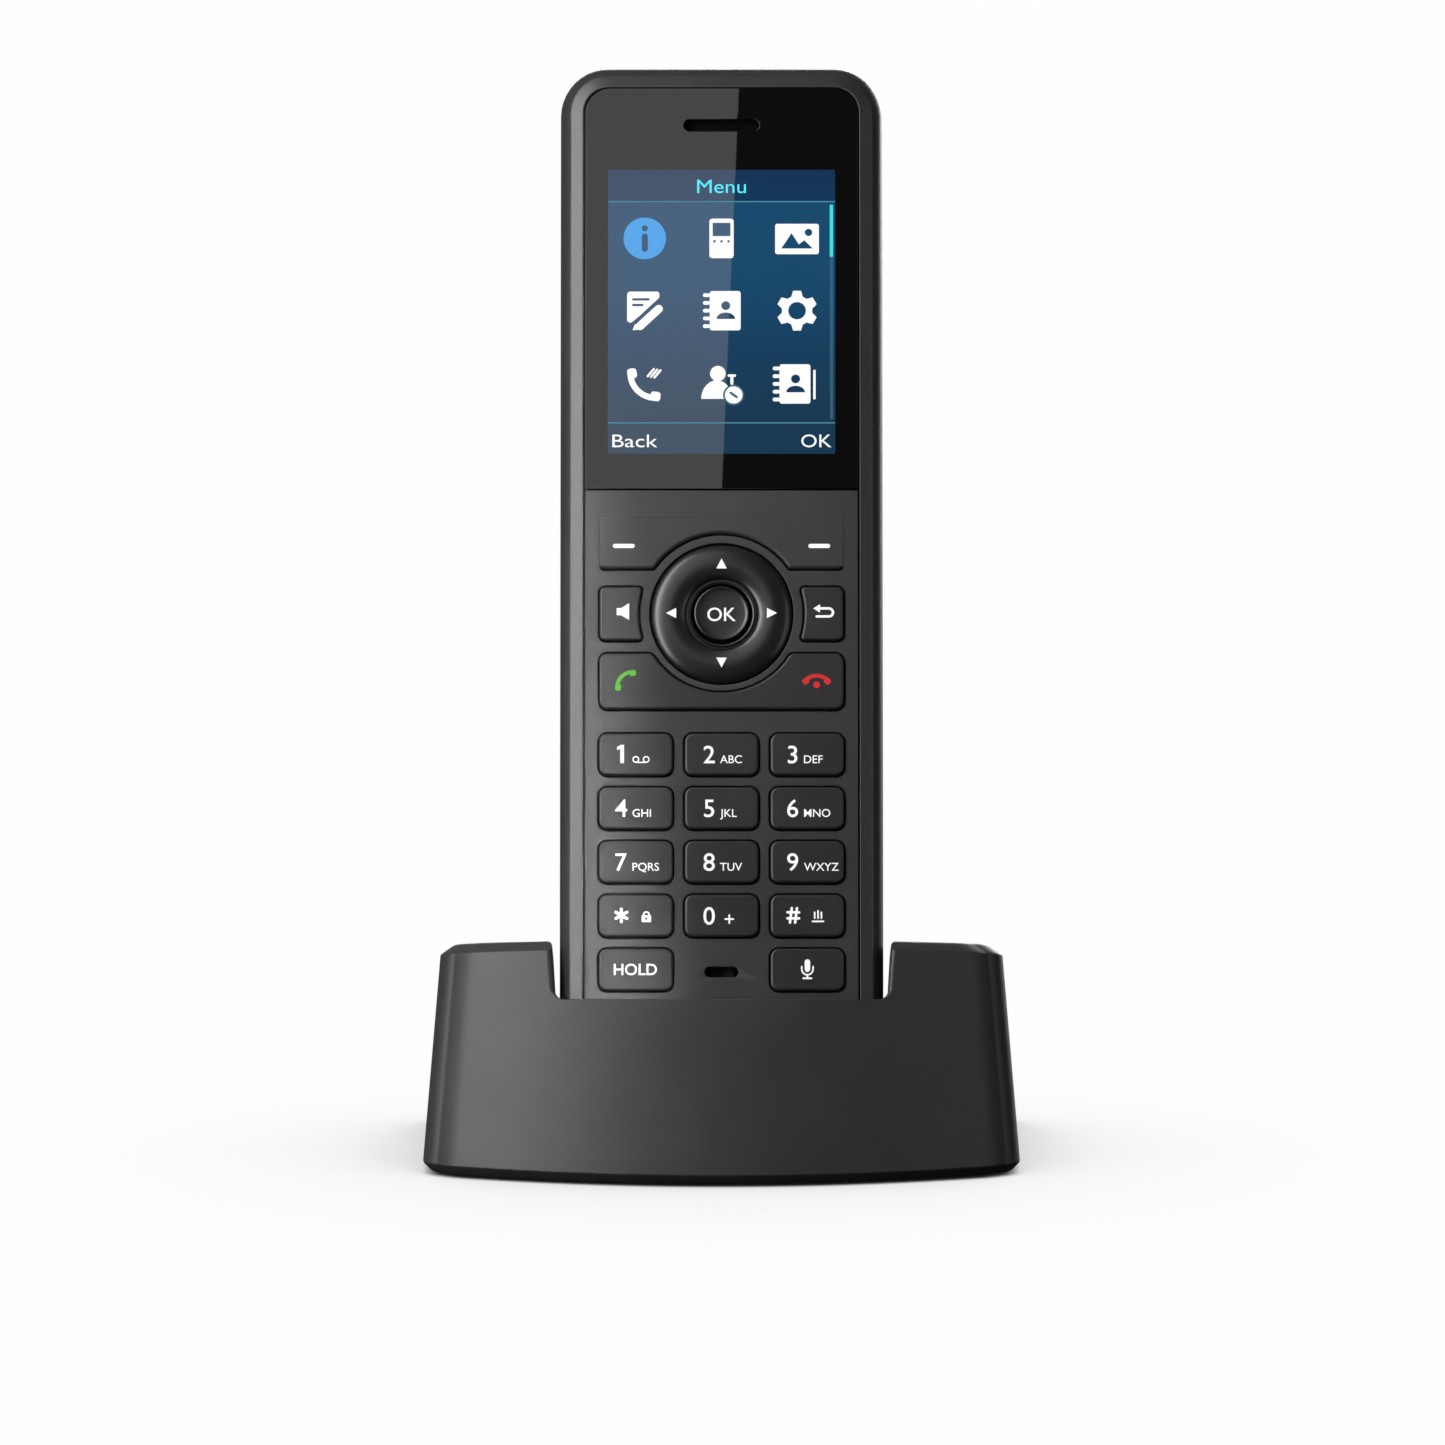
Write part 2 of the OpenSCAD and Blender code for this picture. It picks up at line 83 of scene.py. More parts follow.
def along(node, axis):
    """Least and greatest distance of a node's mesh along an axis, in millimetres."""
    reach = [vertex.co.dot(axis) / MM for vertex in frame["nodes"][node].data.vertices]
    return min(reach), max(reach)


board_origin = up_axis * along("front_housing", up_axis)[0] + in_axis * along("front_housing", in_axis)[0]
stand_up = Matrix((
    (1, up_axis.x, -in_axis.x, board_origin.x * MM),
    (0, up_axis.y, -in_axis.y, board_origin.y * MM),
    (0, up_axis.z, -in_axis.z, board_origin.z * MM),
    (0, 0, 0, 1)))
stand_up = stand_up @ Matrix.Diagonal((MM, MM, MM, 1))
in_place = Matrix.Diagonal((MM, MM, MM, 1))


def flat_box(node):
    """Least and greatest corner of a handset node on the drawing board, in millimetres."""
    back_to_board = stand_up.inverted()
    points = [back_to_board @ vertex.co for vertex in frame["nodes"][node].data.vertices]
    low = Vector([min(p[i] for p in points) for i in range(3)])
    high = Vector([max(p[i] for p in points) for i in range(3)])
    return low, high


shell_low, shell_high = flat_box("front_housing")
back_low, back_high = flat_box("rear_housing")
plate_low, plate_high = flat_box("face_plate")
glass_low, glass_high = flat_box("display_window")
HAND_W = shell_high.x - shell_low.x
HAND_L = shell_high.y - shell_low.y
HAND_T = -back_low.z
SPLIT = -back_high.z
print("handset, mm:", round(HAND_W, 2), round(HAND_L, 2), round(HAND_T, 2))

# %% [markdown]
# ## Camera
#
# The phone was seen from far away through a long lens, a little above the level of the table. A long
# lens keeps the handset's sides parallel, as they are on the real thing.

# %% Camera
VIEW_WIDTH = 0.2378
VIEW_HEIGHT_ABOVE_TABLE = 0.07144
CAMERA_DISTANCE = 3.5
CAMERA_ELEVATION = math.radians(7.5)

camera = bpy.data.objects.new("camera", bpy.data.cameras.new("camera"))
bpy.context.scene.collection.objects.link(camera)
look = Vector((0, math.cos(CAMERA_ELEVATION), -math.sin(CAMERA_ELEVATION)))
camera.location = Vector((0.00016, 0, VIEW_HEIGHT_ABOVE_TABLE)) - look * CAMERA_DISTANCE
camera.rotation_euler = (math.pi / 2 - CAMERA_ELEVATION, 0, 0)
camera.data.sensor_width = 36
camera.data.lens = camera.data.sensor_width * CAMERA_DISTANCE / VIEW_WIDTH
camera.data.clip_start = 0.1
camera.data.clip_end = 100
bpy.context.scene.camera = camera
print("lens, mm:", round(camera.data.lens))

# %% [markdown]
# ## Outlines
#
# Almost every part of a phone starts as an outline: a rounded rectangle, a circle, or a rectangle
# with a bite taken out where it makes room for the round key. A small kit of outline functions keeps
# the parts that belong together parallel to each other, because a gap is just the same outline, grown.

# %% Outline kit
def arc(cx, cy, radius, start, end, steps):
    """Points on a circle from the start angle to the end angle, in degrees."""
    points = []
    for i in range(steps + 1):
        angle = math.radians(start + (end - start) * i / steps)
        points.append((cx + radius * math.cos(angle), cy + radius * math.sin(angle)))
    return points


def circle(cx, cy, radius, steps=64):
    return arc(cx, cy, radius, 0, 360, steps)[:-1]


def rounded(cx, cy, width, height, radius, steps=6):
    """Rounded rectangle, anticlockwise."""
    x, y = width / 2 - radius, height / 2 - radius
    return (arc(cx + x, cy + y, radius, 0, 90, steps) + arc(cx - x, cy + y, radius, 90, 180, steps)
            + arc(cx - x, cy - y, radius, 180, 270, steps) + arc(cx + x, cy - y, radius, 270, 360, steps))


def grow(outline, by):
    """Moves each side of an anticlockwise outline outwards; by is one distance or one per point."""
    count = len(outline)
    distances = by if isinstance(by, (list, tuple)) else [by] * count
    grown = []
    for i, (x, y) in enumerate(outline):
        before, after = outline[i - 1], outline[(i + 1) % count]
        first = Vector((y - before[1], before[0] - x)).normalized()
        second = Vector((after[1] - y, x - after[0])).normalized()
        shift = (first + second) / max(1 + first.dot(second), 0.25)
        grown.append((x + shift.x * distances[i], y + shift.y * distances[i]))
    return grown


def fillet(corners, steps=5):
    """Outline through corners (x, y, radius), each rounded by its radius."""
    outline = []
    count = len(corners)
    for i, (x, y, radius) in enumerate(corners):
        if radius == 0:
            outline.append((x, y))
            continue
        here = Vector((x, y))
        back = (Vector(corners[i - 1][:2]) - here).normalized()
        on = (Vector(corners[(i + 1) % count][:2]) - here).normalized()
        half = back.angle(on) / 2
        start = here + back * radius / math.tan(half)
        end = here + on * radius / math.tan(half)
        middle = here + (back + on).normalized() * radius / math.sin(half)
        for k in range(steps + 1):
            spoke = (start - middle).lerp(end - middle, k / steps).normalized() * radius
            outline.append(tuple(middle + spoke))
    return outline


# %% [markdown]
# ## Solids from outlines
#
# Two builders make nearly all the parts. `loft_mesh` joins a row of outlines, each at its own height,
# into a closed skin, which suits keys and shells with rounded edges. `curve_mesh` fills a flat
# Blender curve, which is the easiest way to a plate with many openings: inner curves become holes,
# and the curve's own bevel rounds every edge.

# %% Solid builders
def new_piece(name, mesh, matrix, sharp=32):
    """Puts a mesh where the matrix says and shades it smooth, with crisp edges past an angle."""
    piece = bpy.data.objects.new(name, mesh)
    bpy.context.scene.collection.objects.link(piece)
    skin = bmesh.new()
    skin.from_mesh(mesh)
    bmesh.ops.remove_doubles(skin, verts=skin.verts, dist=1e-5)
    bmesh.ops.recalc_face_normals(skin, faces=skin.faces)
    skin.to_mesh(mesh)
    skin.free()
    mesh.transform(matrix)
    mesh.shade_smooth()
    mesh.set_sharp_from_angle(angle=math.radians(sharp))
    weigh = piece.modifiers.new("flat_faces_first", "WEIGHTED_NORMAL")
    weigh.keep_sharp = True
    bpy.context.view_layer.update()
    graph = bpy.context.evaluated_depsgraph_get()
    piece.data = bpy.data.meshes.new_from_object(piece.evaluated_get(graph), depsgraph=graph)
    piece.modifiers.clear()
    piece.data.name = name
    return piece


def loft_mesh(name, rings, closed=False):
    """Mesh through rings of (x, y, z); closed joins the last ring to the first."""
    count = len(rings[0])
    points = [point for ring in rings for point in ring]
    faces = []
    runs = len(rings) if closed else len(rings) - 1
    for r in range(runs):
        low, high = r * count, (r + 1) % len(rings) * count
        for i in range(count):
            j = (i + 1) % count
            faces.append((low + i, low + j, high + j, high + i))
    if not closed:
        faces.append(tuple(reversed(range(count))))
        faces.append(tuple(range((len(rings) - 1) * count, len(points))))
    mesh = bpy.data.meshes.new(name)
    mesh.from_pydata(points, [], faces)
    return mesh


def at_height(outline, z):
    return [(x, y, z) for x, y in outline]


def curve_mesh(name, outlines, thickness, bevel=0.0, z=0.0, bevel_steps=2):
    """Filled flat curve from z - thickness to z, as a mesh; outlines inside others are holes."""
    curve = bpy.data.curves.new(name, "CURVE")
    curve.dimensions = "2D"
    curve.fill_mode = "BOTH"
    curve.extrude = thickness / 2 - bevel
    curve.bevel_depth = bevel
    curve.bevel_resolution = bevel_steps
    curve.offset = -bevel
    for outline in outlines:
        spline = curve.splines.new("POLY")
        spline.points.add(len(outline) - 1)
        for point, (x, y) in zip(spline.points, outline):
            point.co = (x, y, 0, 1)
        spline.use_cyclic_u = True
    return plain_mesh(name, curve, Matrix.Translation((0, 0, z - thickness / 2)))


def plain_mesh(name, data, matrix=None, modifiers=None):
    """Mesh of a curve, a text or a mesh with modifiers, after everything on it is evaluated."""
    maker = bpy.data.objects.new(name + "_maker", data)
    bpy.context.scene.collection.objects.link(maker)
    if modifiers:
        modifiers(maker)
    bpy.context.view_layer.update()
    graph = bpy.context.evaluated_depsgraph_get()
    mesh = bpy.data.meshes.new_from_object(maker.evaluated_get(graph), depsgraph=graph)
    bpy.data.objects.remove(maker)
    if matrix:
        mesh.transform(matrix)
    mesh.name = name
    return mesh


def cut(mesh, cutters):
    """Takes the cutter meshes away from a mesh."""
    helpers = []
    for cutter in cutters:
        skin = bmesh.new()
        skin.from_mesh(cutter)
        bmesh.ops.remove_doubles(skin, verts=skin.verts, dist=1e-5)
        bmesh.ops.recalc_face_normals(skin, faces=skin.faces)
        skin.to_mesh(cutter)
        skin.free()
        helper = bpy.data.objects.new("cutter", cutter)
        bpy.context.scene.collection.objects.link(helper)
        helpers.append(helper)

    def add_cuts(maker):
        for helper in helpers:
            modifier = maker.modifiers.new("cut", "BOOLEAN")
            modifier.operation = "DIFFERENCE"
            modifier.solver = "EXACT"
            modifier.object = helper

    skin = bmesh.new()
    skin.from_mesh(mesh)
    bmesh.ops.recalc_face_normals(skin, faces=skin.faces)
    skin.to_mesh(mesh)
    skin.free()
    result = plain_mesh(mesh.name, mesh, modifiers=add_cuts)
    for helper in helpers:
        bpy.data.objects.remove(helper)
    return result


def dress(piece, material, body, slot, *nodes):
    """Gives a piece its material and its body, and hides the solid-model nodes that it stands for; slot is
    not used.
    """
    piece.data.materials.clear()
    piece.data.materials.append(material)
    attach(piece, body)
    if nodes:
        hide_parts(*nodes)
    return piece


# %% [markdown]
# ## Plastics
#
# The phone is nearly all one family of dark moulded plastic. What makes it read as plastic and not as
# flat grey is the spark-eroded texture of the mould: grains of a tenth of a millimetre that scatter
# the highlights. One function makes every plastic from four words: how dark, how rough, how coarse
# the grain is, and how deep. The grain is a bump driven by noise on object coordinates, so it stays
# still on its part, and a second, broader noise varies the tone a little.

# %% Plastic materials
def shader(name):
    material = bpy.data.materials.new(name)
    material.use_nodes = True
    nodes, links = material.node_tree.nodes, material.node_tree.links
    return material, nodes, links, nodes["Principled BSDF"]


def noise_of(nodes, links, scale, detail=2.0):
    place = nodes.new("ShaderNodeTexCoord")
    noise = nodes.new("ShaderNodeTexNoise")
    noise.inputs["Scale"].default_value = scale
    noise.inputs["Detail"].default_value = detail
    links.new(place.outputs["Object"], noise.inputs["Vector"])
    return noise


def rough_between(nodes, links, surface, noise, low, high):
    """Lets the roughness wander between two values with the noise."""
    spread = nodes.new("ShaderNodeMapRange")
    spread.inputs["To Min"].default_value = low
    spread.inputs["To Max"].default_value = high
    links.new(noise.outputs["Fac"], spread.inputs["Value"])
    links.new(spread.outputs["Result"], surface.inputs["Roughness"])


def moulded(name, tone, roughness, grain=0.12, depth=0.006, specular=0.5):
    """Textured plastic; grain and depth of the texture are in millimetres."""
    material, nodes, links, surface = shader(name)
    surface.inputs["Specular IOR Level"].default_value = specular
    fine = noise_of(nodes, links, 1 / (grain * MM))
    bump = nodes.new("ShaderNodeBump")
    bump.inputs["Strength"].default_value = 0.6
    bump.inputs["Distance"].default_value = depth * MM
    links.new(fine.outputs["Fac"], bump.inputs["Height"])
    links.new(bump.outputs["Normal"], surface.inputs["Normal"])
    broad = noise_of(nodes, links, 1 / (9 * MM), 3.0)
    ramp = nodes.new("ShaderNodeValToRGB")
    ramp.color_ramp.elements[0].position = 0.3
    ramp.color_ramp.elements[0].color = [c * 0.9 for c in tone] + [1]
    ramp.color_ramp.elements[1].position = 0.7
    ramp.color_ramp.elements[1].color = [c * 1.08 for c in tone] + [1]
    links.new(broad.outputs["Fac"], ramp.inputs["Fac"])
    links.new(ramp.outputs["Color"], surface.inputs["Base Color"])
    rough_between(nodes, links, surface, broad, roughness - 0.04, roughness + 0.04)
    return material


anthracite = moulded("anthracite_housing", (0.017, 0.0173, 0.017), 0.42, specular=0.6)
cradle_plastic = moulded("cradle_plastic", (0.024, 0.0243, 0.024), 0.5, 0.2, 0.012)
fascia_plastic = moulded("fascia_plastic", (0.022, 0.022, 0.0215), 0.45, 0.13, 0.006)
key_plastic = moulded("key_plastic", (0.0125, 0.0125, 0.012), 0.42, 0.1, 0.004)
ring_plastic = moulded("satin_ring", (0.007, 0.007, 0.007), 0.3, 0.1, 0.002)
base_plastic = moulded("base_plate_plastic", (0.012, 0.012, 0.012), 0.6, 0.25, 0.02)
# The earpiece mesh is black, and its tone is set far darker than the housing's, so it also carries painted
# shade for the deep slot.
mesh_black_and_shade = moulded("earpiece_black", (0.0015, 0.0015, 0.0015), 0.6, 0.2, 0.01, 0.05)
holder_plastic = moulded("holder_plastic", (0.012, 0.012, 0.013), 0.5)
battery_wrap = moulded("battery_wrap", (0.02, 0.045, 0.12), 0.35, 0.3, 0.004)
backlight_white = moulded("backlight_white", (0.7, 0.7, 0.68), 0.4)
rubber = moulded("foot_rubber", (0.008, 0.008, 0.008), 0.8, 0.3, 0.03, 0.25)
silicone = moulded("grey_silicone", (0.10, 0.10, 0.105), 0.7, 0.3, 0.01, 0.3)
print("plastics made:", len(bpy.data.materials))

# %% [markdown]
# ## Metals, glass and inks
#
# The metals are seldom seen, but they show when the battery door is off or the phone is lifted: the
# charging contacts, the screws and the inlet. The glass is drawn as a polished black sheet, because
# the display behind it fills the clear part. The inks glow a little, as backlit legends do.

# %% Metal, glass and ink materials
def metal(name, tone, roughness, grain=0.4):
    material, nodes, links, surface = shader(name)
    surface.inputs["Metallic"].default_value = 1.0
    surface.inputs["Base Color"].default_value = (*tone, 1)
    scratches = noise_of(nodes, links, 1 / (grain * MM), 6.0)
    rough_between(nodes, links, surface, scratches, roughness * 0.7, roughness * 1.4)
    return material


def polished(name, tone):
    """Glossy dark sheet with very faint smudges in its polish."""
    material, nodes, links, surface = shader(name)
    surface.inputs["Base Color"].default_value = (*tone, 1)
    smudge = noise_of(nodes, links, 1 / (14 * MM), 4.0)
    rough_between(nodes, links, surface, smudge, 0.008, 0.018)
    return material


def ink(name, tone, glow=0.8):
    material, nodes, links, surface = shader(name)
    surface.inputs["Base Color"].default_value = (*[0.25 * c for c in tone], 1)
    surface.inputs["Specular IOR Level"].default_value = 0.2
    surface.inputs["Emission Color"].default_value = (*tone, 1)
    surface.inputs["Emission Strength"].default_value = glow
    wear = noise_of(nodes, links, 1 / (0.5 * MM))
    rough_between(nodes, links, surface, wear, 0.4, 0.6)
    return material


gold = metal("gold_plating", (0.83, 0.62, 0.28), 0.25)
steel = metal("brushed_steel", (0.55, 0.55, 0.56), 0.35)
window_glass = polished("window_glass", (0.0012, 0.0012, 0.0012))
white_ink = ink("white_ink", (0.88, 0.88, 0.88), 0.9)
green_ink = ink("green_ink", (0.117, 0.51, 0.045), 0.55)
red_ink = ink("red_ink", (0.68, 0.03, 0.035), 0.64)
board_green = moulded("board_green", (0.008, 0.06, 0.025), 0.3, 0.5, 0.004)

# %% Materials for the parts that keep their solid-model shape
kept = {
    "cradle_base_plate": base_plastic, "cradle_board": board_green, "power_inlet": steel,
    "contact_block": holder_plastic, "charge_pin_left": gold, "charge_pin_right": gold,
    "lcd_backlight": backlight_white, "earpiece": holder_plastic, "main_board": board_green,
    "keypad_mat": silicone, "dome_switches": steel, "microphone": holder_plastic,
    "loudspeaker": holder_plastic, "headset_jack": holder_plastic, "antenna": gold,
    "battery_pack": battery_wrap, "battery_contacts": gold, "charge_pads": gold,
    "nav_collar": silicone}
for node, material in kept.items():
    part = frame["nodes"][node]
    part.data.materials.clear()
    part.data.materials.append(material)
print("solid-model parts dressed:", len(kept))

# %% [markdown]
# ## The handset's frame
#
# A slim frame runs round the face: a bright sloping bevel beside the glass, a soft crease, then a
# round shoulder down to the joint line between the two halves. It is the same profile all the way
# round, so it is one loft: each ring is the handset's outline drawn in by some amount, at some depth.
# The last ring joins the first, which makes the frame a closed tube with no ends.

# %% Front frame
CORNER = 8.0


def hand_outline(inset):
    return rounded(0, HAND_L / 2, HAND_W - 2 * inset, HAND_L - 2 * inset, max(CORNER - inset, 0.6), 10)


def hand_rings(profile):
    """Rings of the handset's outline for (inset, height) pairs."""
    return [at_height(hand_outline(inset), z) for inset, z in profile]


deck = plate_low.z
groove = HAND_W / 2 - plate_high.x - 0.3
frame_profile = [
    (groove, deck), (groove, -0.13), (groove - 0.03, -0.04), (groove - 0.12, 0.0),
    (groove - 0.3, -0.03), (1.95, -0.49), (1.75, -0.56), (1.6, -0.66), (1.4, -0.84), (1.1, -1.12),
    (0.75, -1.52), (0.45, -1.98), (0.22, -2.5), (0.07, -3.1), (0.0, -3.8), (0.0, -6.0),
    (0.0, 0.22 - SPLIT), (0.05, 0.1 - SPLIT), (0.18, 0.03 - SPLIT), (1.8, 0.03 - SPLIT),
    (1.8, deck - 1.2), (groove + 0.8, deck - 1.2), (groove + 0.8, deck)]
frame_mesh = loft_mesh("front_frame", hand_rings(frame_profile), True)
front_frame = new_piece("front_frame", frame_mesh, stand_up, 40)
dress(front_frame, anthracite, "handset", "housing", "front_housing")
print("front frame faces:", len(front_frame.data.polygons))

# %% [markdown]
# ## The handset's back
#
# The back half is a bowl with a soft edge. The battery bay, the wells of the screws, the slots of the
# loudspeaker and the hole of the headset jack are cut out of it afterwards with booleans, as a tool
# would mill them. The slots repeat, so their cutters come from one loop.

# %% A node tree that repeats a part
def repeat_tree():
    """Puts a copy of Part on every point of the mesh, at a size, with a material."""
    tree = bpy.data.node_groups.new("repeat_part", "GeometryNodeTree")
    tree.interface.new_socket("Geometry", in_out="INPUT", socket_type="NodeSocketGeometry")
    tree.interface.new_socket("Part", in_out="INPUT", socket_type="NodeSocketObject")
    tree.interface.new_socket("Size", in_out="INPUT", socket_type="NodeSocketVector")
    tree.interface.new_socket("Material", in_out="INPUT", socket_type="NodeSocketMaterial")
    tree.interface.new_socket("Geometry", in_out="OUTPUT", socket_type="NodeSocketGeometry")
    nodes, links = tree.nodes, tree.links
    given = nodes.new("NodeGroupInput")
    part = nodes.new("GeometryNodeObjectInfo")
    points = nodes.new("GeometryNodeMeshToPoints")
    copies = nodes.new("GeometryNodeInstanceOnPoints")
    real = nodes.new("GeometryNodeRealizeInstances")
    paint = nodes.new("GeometryNodeSetMaterial")
    out = nodes.new("NodeGroupOutput")
    links.new(given.outputs["Part"], part.inputs["Object"])
    links.new(given.outputs["Geometry"], points.inputs["Mesh"])
    links.new(points.outputs["Points"], copies.inputs["Points"])
    links.new(part.outputs["Geometry"], copies.inputs["Instance"])
    links.new(given.outputs["Size"], copies.inputs["Scale"])
    links.new(copies.outputs["Instances"], real.inputs["Geometry"])
    links.new(real.outputs["Geometry"], paint.inputs["Geometry"])
    links.new(given.outputs["Material"], paint.inputs["Material"])
    links.new(paint.outputs["Geometry"], out.inputs["Geometry"])
    return tree


repeat_part = repeat_tree()


def repeated(name, part_mesh, places, material, size=(1, 1, 1)):
    """Mesh of one part repeated at each place (x, y, z)."""
    part = bpy.data.objects.new(name + "_part", part_mesh)
    points = bpy.data.meshes.new(name)
    points.from_pydata(places, [], [])

    def add_tree(maker):
        modifier = maker.modifiers.new("repeat", "NODES")
        modifier.node_group = repeat_part
        values = {"Part": part, "Size": size, "Material": material}
        for socket in repeat_part.interface.items_tree:
            if socket.in_out == "INPUT" and socket.name in values:
                modifier[socket.identifier] = values[socket.name]

    mesh = plain_mesh(name, points, modifiers=add_tree)
    bpy.data.objects.remove(part)
    return mesh


# %% Back half
def prism(name, outline, low, high):
    return loft_mesh(name, [at_height(outline, low), at_height(outline, high)])


back_profile = [
    (0.18, -0.03 - SPLIT), (0.05, -0.1 - SPLIT), (0.0, -0.22 - SPLIT), (0.0, -10.0), (0.0, -12.0),
    (0.1, -13.2), (0.35, -14.5), (0.75, -15.6), (1.35, -16.8), (2.1, -17.8), (3.1, -18.75),
    (4.3, -19.5), (5.6, -20.0), (6.6, -HAND_T)]
door_low, door_high = flat_box("battery_door")
pack_low, pack_high = flat_box("battery_pack")
jack_low, jack_high = flat_box("headset_jack")
screw_low, screw_high = flat_box("housing_screws")
pad_low, pad_high = flat_box("charge_pads")
SCREW_HEAD = 2.1
screw_spots = [(x, y) for x in (screw_low.x + SCREW_HEAD, screw_high.x - SCREW_HEAD)
               for y in (screw_low.y + SCREW_HEAD, screw_high.y - SCREW_HEAD)]
door_mid = (door_low.y + door_high.y) / 2
door_size = (door_high.x - door_low.x, door_high.y - door_low.y)
speaker_low, speaker_high = flat_box("loudspeaker")
speaker_y = (speaker_low.y + speaker_high.y) / 2
slots = [prism("slot", rounded(0, speaker_y + 3.2 * i, 15 - 2.2 * abs(i), 1.4, 0.69, 5),
               -HAND_T - 3.5, -HAND_T + 2.8) for i in range(-2, 3)]
bay_mid = (pack_low.y + pack_high.y) / 2
bay = rounded(0, bay_mid, pack_high.x - pack_low.x + 0.8, pack_high.y - pack_low.y + 3.6, 1.6, 4)
well = [prism("well", circle(x, y, 2.5, 32), -HAND_T - 1, -15.4) for x, y in screw_spots]
jack_y = (jack_low.y + jack_high.y) / 2
jack_z = (jack_low.z + jack_high.z) / 2
jack_cutter = prism("jack_hole", circle(0, 0, 3.05, 40), -4, 4)
jack_cutter.transform(Matrix.Translation((-HAND_W / 2, jack_y, jack_z))
                      @ Matrix.Rotation(math.pi / 2, 4, "Y"))
pad_cutters = [prism("pad_window", rounded(x, -0.2, 4.4, 4.2, 0.6, 3), -SPLIT - 6.2, -SPLIT - 0.1)
               for x in (pad_low.x + 2, pad_high.x - 2)]
back_cutters = [
    prism("door_seat", rounded(0, door_mid, door_size[0] + 0.5, door_size[1] + 0.5, 3.1, 6),
          -HAND_T - 1, -HAND_T + 1.75),
    prism("bay", bay, -HAND_T - 1, pack_high.z + 0.2)] + well + slots + [jack_cutter] + pad_cutters
back_mesh = cut(loft_mesh("back_half", hand_rings(back_profile)), back_cutters)
back_half = new_piece("back_half", back_mesh, stand_up, 35)
dress(back_half, anthracite, "handset", "housing", "rear_housing")
print("back half faces:", len(back_half.data.polygons))

# %% [markdown]
# ## Battery door and screws
#
# The door is a thin plate with an eased edge and five thumb ridges. The ridges and the screws repeat,
# so the same node tree puts them in place. A screw is a low round head with a six-sided socket: a
# loft from the rim of the socket outwards and down.

# %% Battery door
DOOR_RIDGES = 5
door_outline = rounded(0, door_mid, door_size[0], door_size[1], 2.9, 6)
door_mesh = curve_mesh("battery_door", [door_outline], 1.55, 0.3, -HAND_T + 1.55)
ridge = loft_mesh("ridge", [at_height(grow(rounded(0, 0, 15, 0.7, 0.34, 4), -g), z)
                            for g, z in ((0, 0.2), (0, -0.1), (0.1, -0.22), (0.2, -0.26))])
ridges_mesh = repeated("door_ridges", ridge,
                       [(0, door_high.y - 8 - 1.8 * i, -HAND_T) for i in range(DOOR_RIDGES)], anthracite)
door = new_piece("door_panel", door_mesh, stand_up)
dress(door, anthracite, "door", "housing", "battery_door")
ridges = new_piece("door_ridges", ridges_mesh, stand_up)
dress(ridges, anthracite, "door", "housing")
print("door ridges:", DOOR_RIDGES)


# %% Screws
RIM_POINTS = 24


def screw_mesh(radius, socket, height):
    """Screw head that faces up, its seat at z = 0."""
    flats = []
    for i, (x, y) in enumerate(circle(0, 0, socket, RIM_POINTS)):
        past_flat = math.radians(360 / RIM_POINTS * i % 60 - 30)
        stretch = 1 / math.cos(past_flat) * 0.9
        flats.append((x * stretch, y * stretch))
    round_rim = circle(0, 0, 1, RIM_POINTS)

    def scaled(s):
        return [(x * s, y * s) for x, y in round_rim]

    rings = [at_height(flats, height - 0.7), at_height(flats, height - 0.05),
             at_height([(x * 1.06, y * 1.06) for x, y in flats], height),
             at_height(scaled(radius * 0.82), height), at_height(scaled(radius * 0.95), height - 0.12),
             at_height(scaled(radius), height - 0.35), at_height(scaled(radius), -0.2)]
    return loft_mesh("screw_head", rings)


turn_over = Matrix.Rotation(math.pi, 4, "X")
back_screw = screw_mesh(SCREW_HEAD, 0.95, 1.4)
back_screw.transform(turn_over)
back_screws = repeated("back_screws", back_screw, [(x, y, -15.5) for x, y in screw_spots], steel)
back_screws = new_piece("back_screws", back_screws, stand_up)
dress(back_screws, steel, "handset", "screws", "housing_screws")

cradle_screw_low, cradle_screw_high = (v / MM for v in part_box("cradle_screws"))
BASE_HEAD = 2.4
base_screw = screw_mesh(BASE_HEAD, 1.0, 1.0)
base_screw.transform(turn_over)
base_spots = [(x, y, cradle_screw_low.z + 1.0)
              for x in (cradle_screw_low.x + BASE_HEAD, cradle_screw_high.x - BASE_HEAD)
              for y in (cradle_screw_low.y + BASE_HEAD, cradle_screw_high.y - BASE_HEAD)]
base_screws = new_piece("base_screws", repeated("base_screws", base_screw, base_spots, steel), in_place)
dress(base_screws, steel, "cradle", "screws", "cradle_screws")
print("screws:", len(screw_spots), "and", len(base_spots))

# %% [markdown]
# ## Face plate
#
# The plate over the lower half of the face is one moulding with an opening for every key. All the
# openings are the outlines of the keys, grown by the same gap, so the gaps come out even. Its edges
# and the edges of its openings are eased a little, because a sharp edge would give no highlight.

# %% Key outlines
KEY_GAP = 0.25
ring_low, ring_high = flat_box("nav_ring")
nav_y = (ring_low.y + ring_high.y) / 2
ring_radius = (ring_high.x - ring_low.x) / 2
rocker_low, rocker_high = flat_box("soft_key_rocker")
call_low, call_high = flat_box("call_end_rocker")
FLANGE = 0.55
BANK = 13.1
CURL = 1.3


def key_box(node):
    """Middle, width and height of a key's cap."""
    low, high = flat_box(node)
    return ((low.x + high.x) / 2, (low.y + high.y) / 2,
            high.x - low.x - 2 * FLANGE, high.y - low.y - 2 * FLANGE)


def number_key(node):
    x, y, width, height = key_box(node)
    return rounded(x, y, width, height, 1.4, 6)


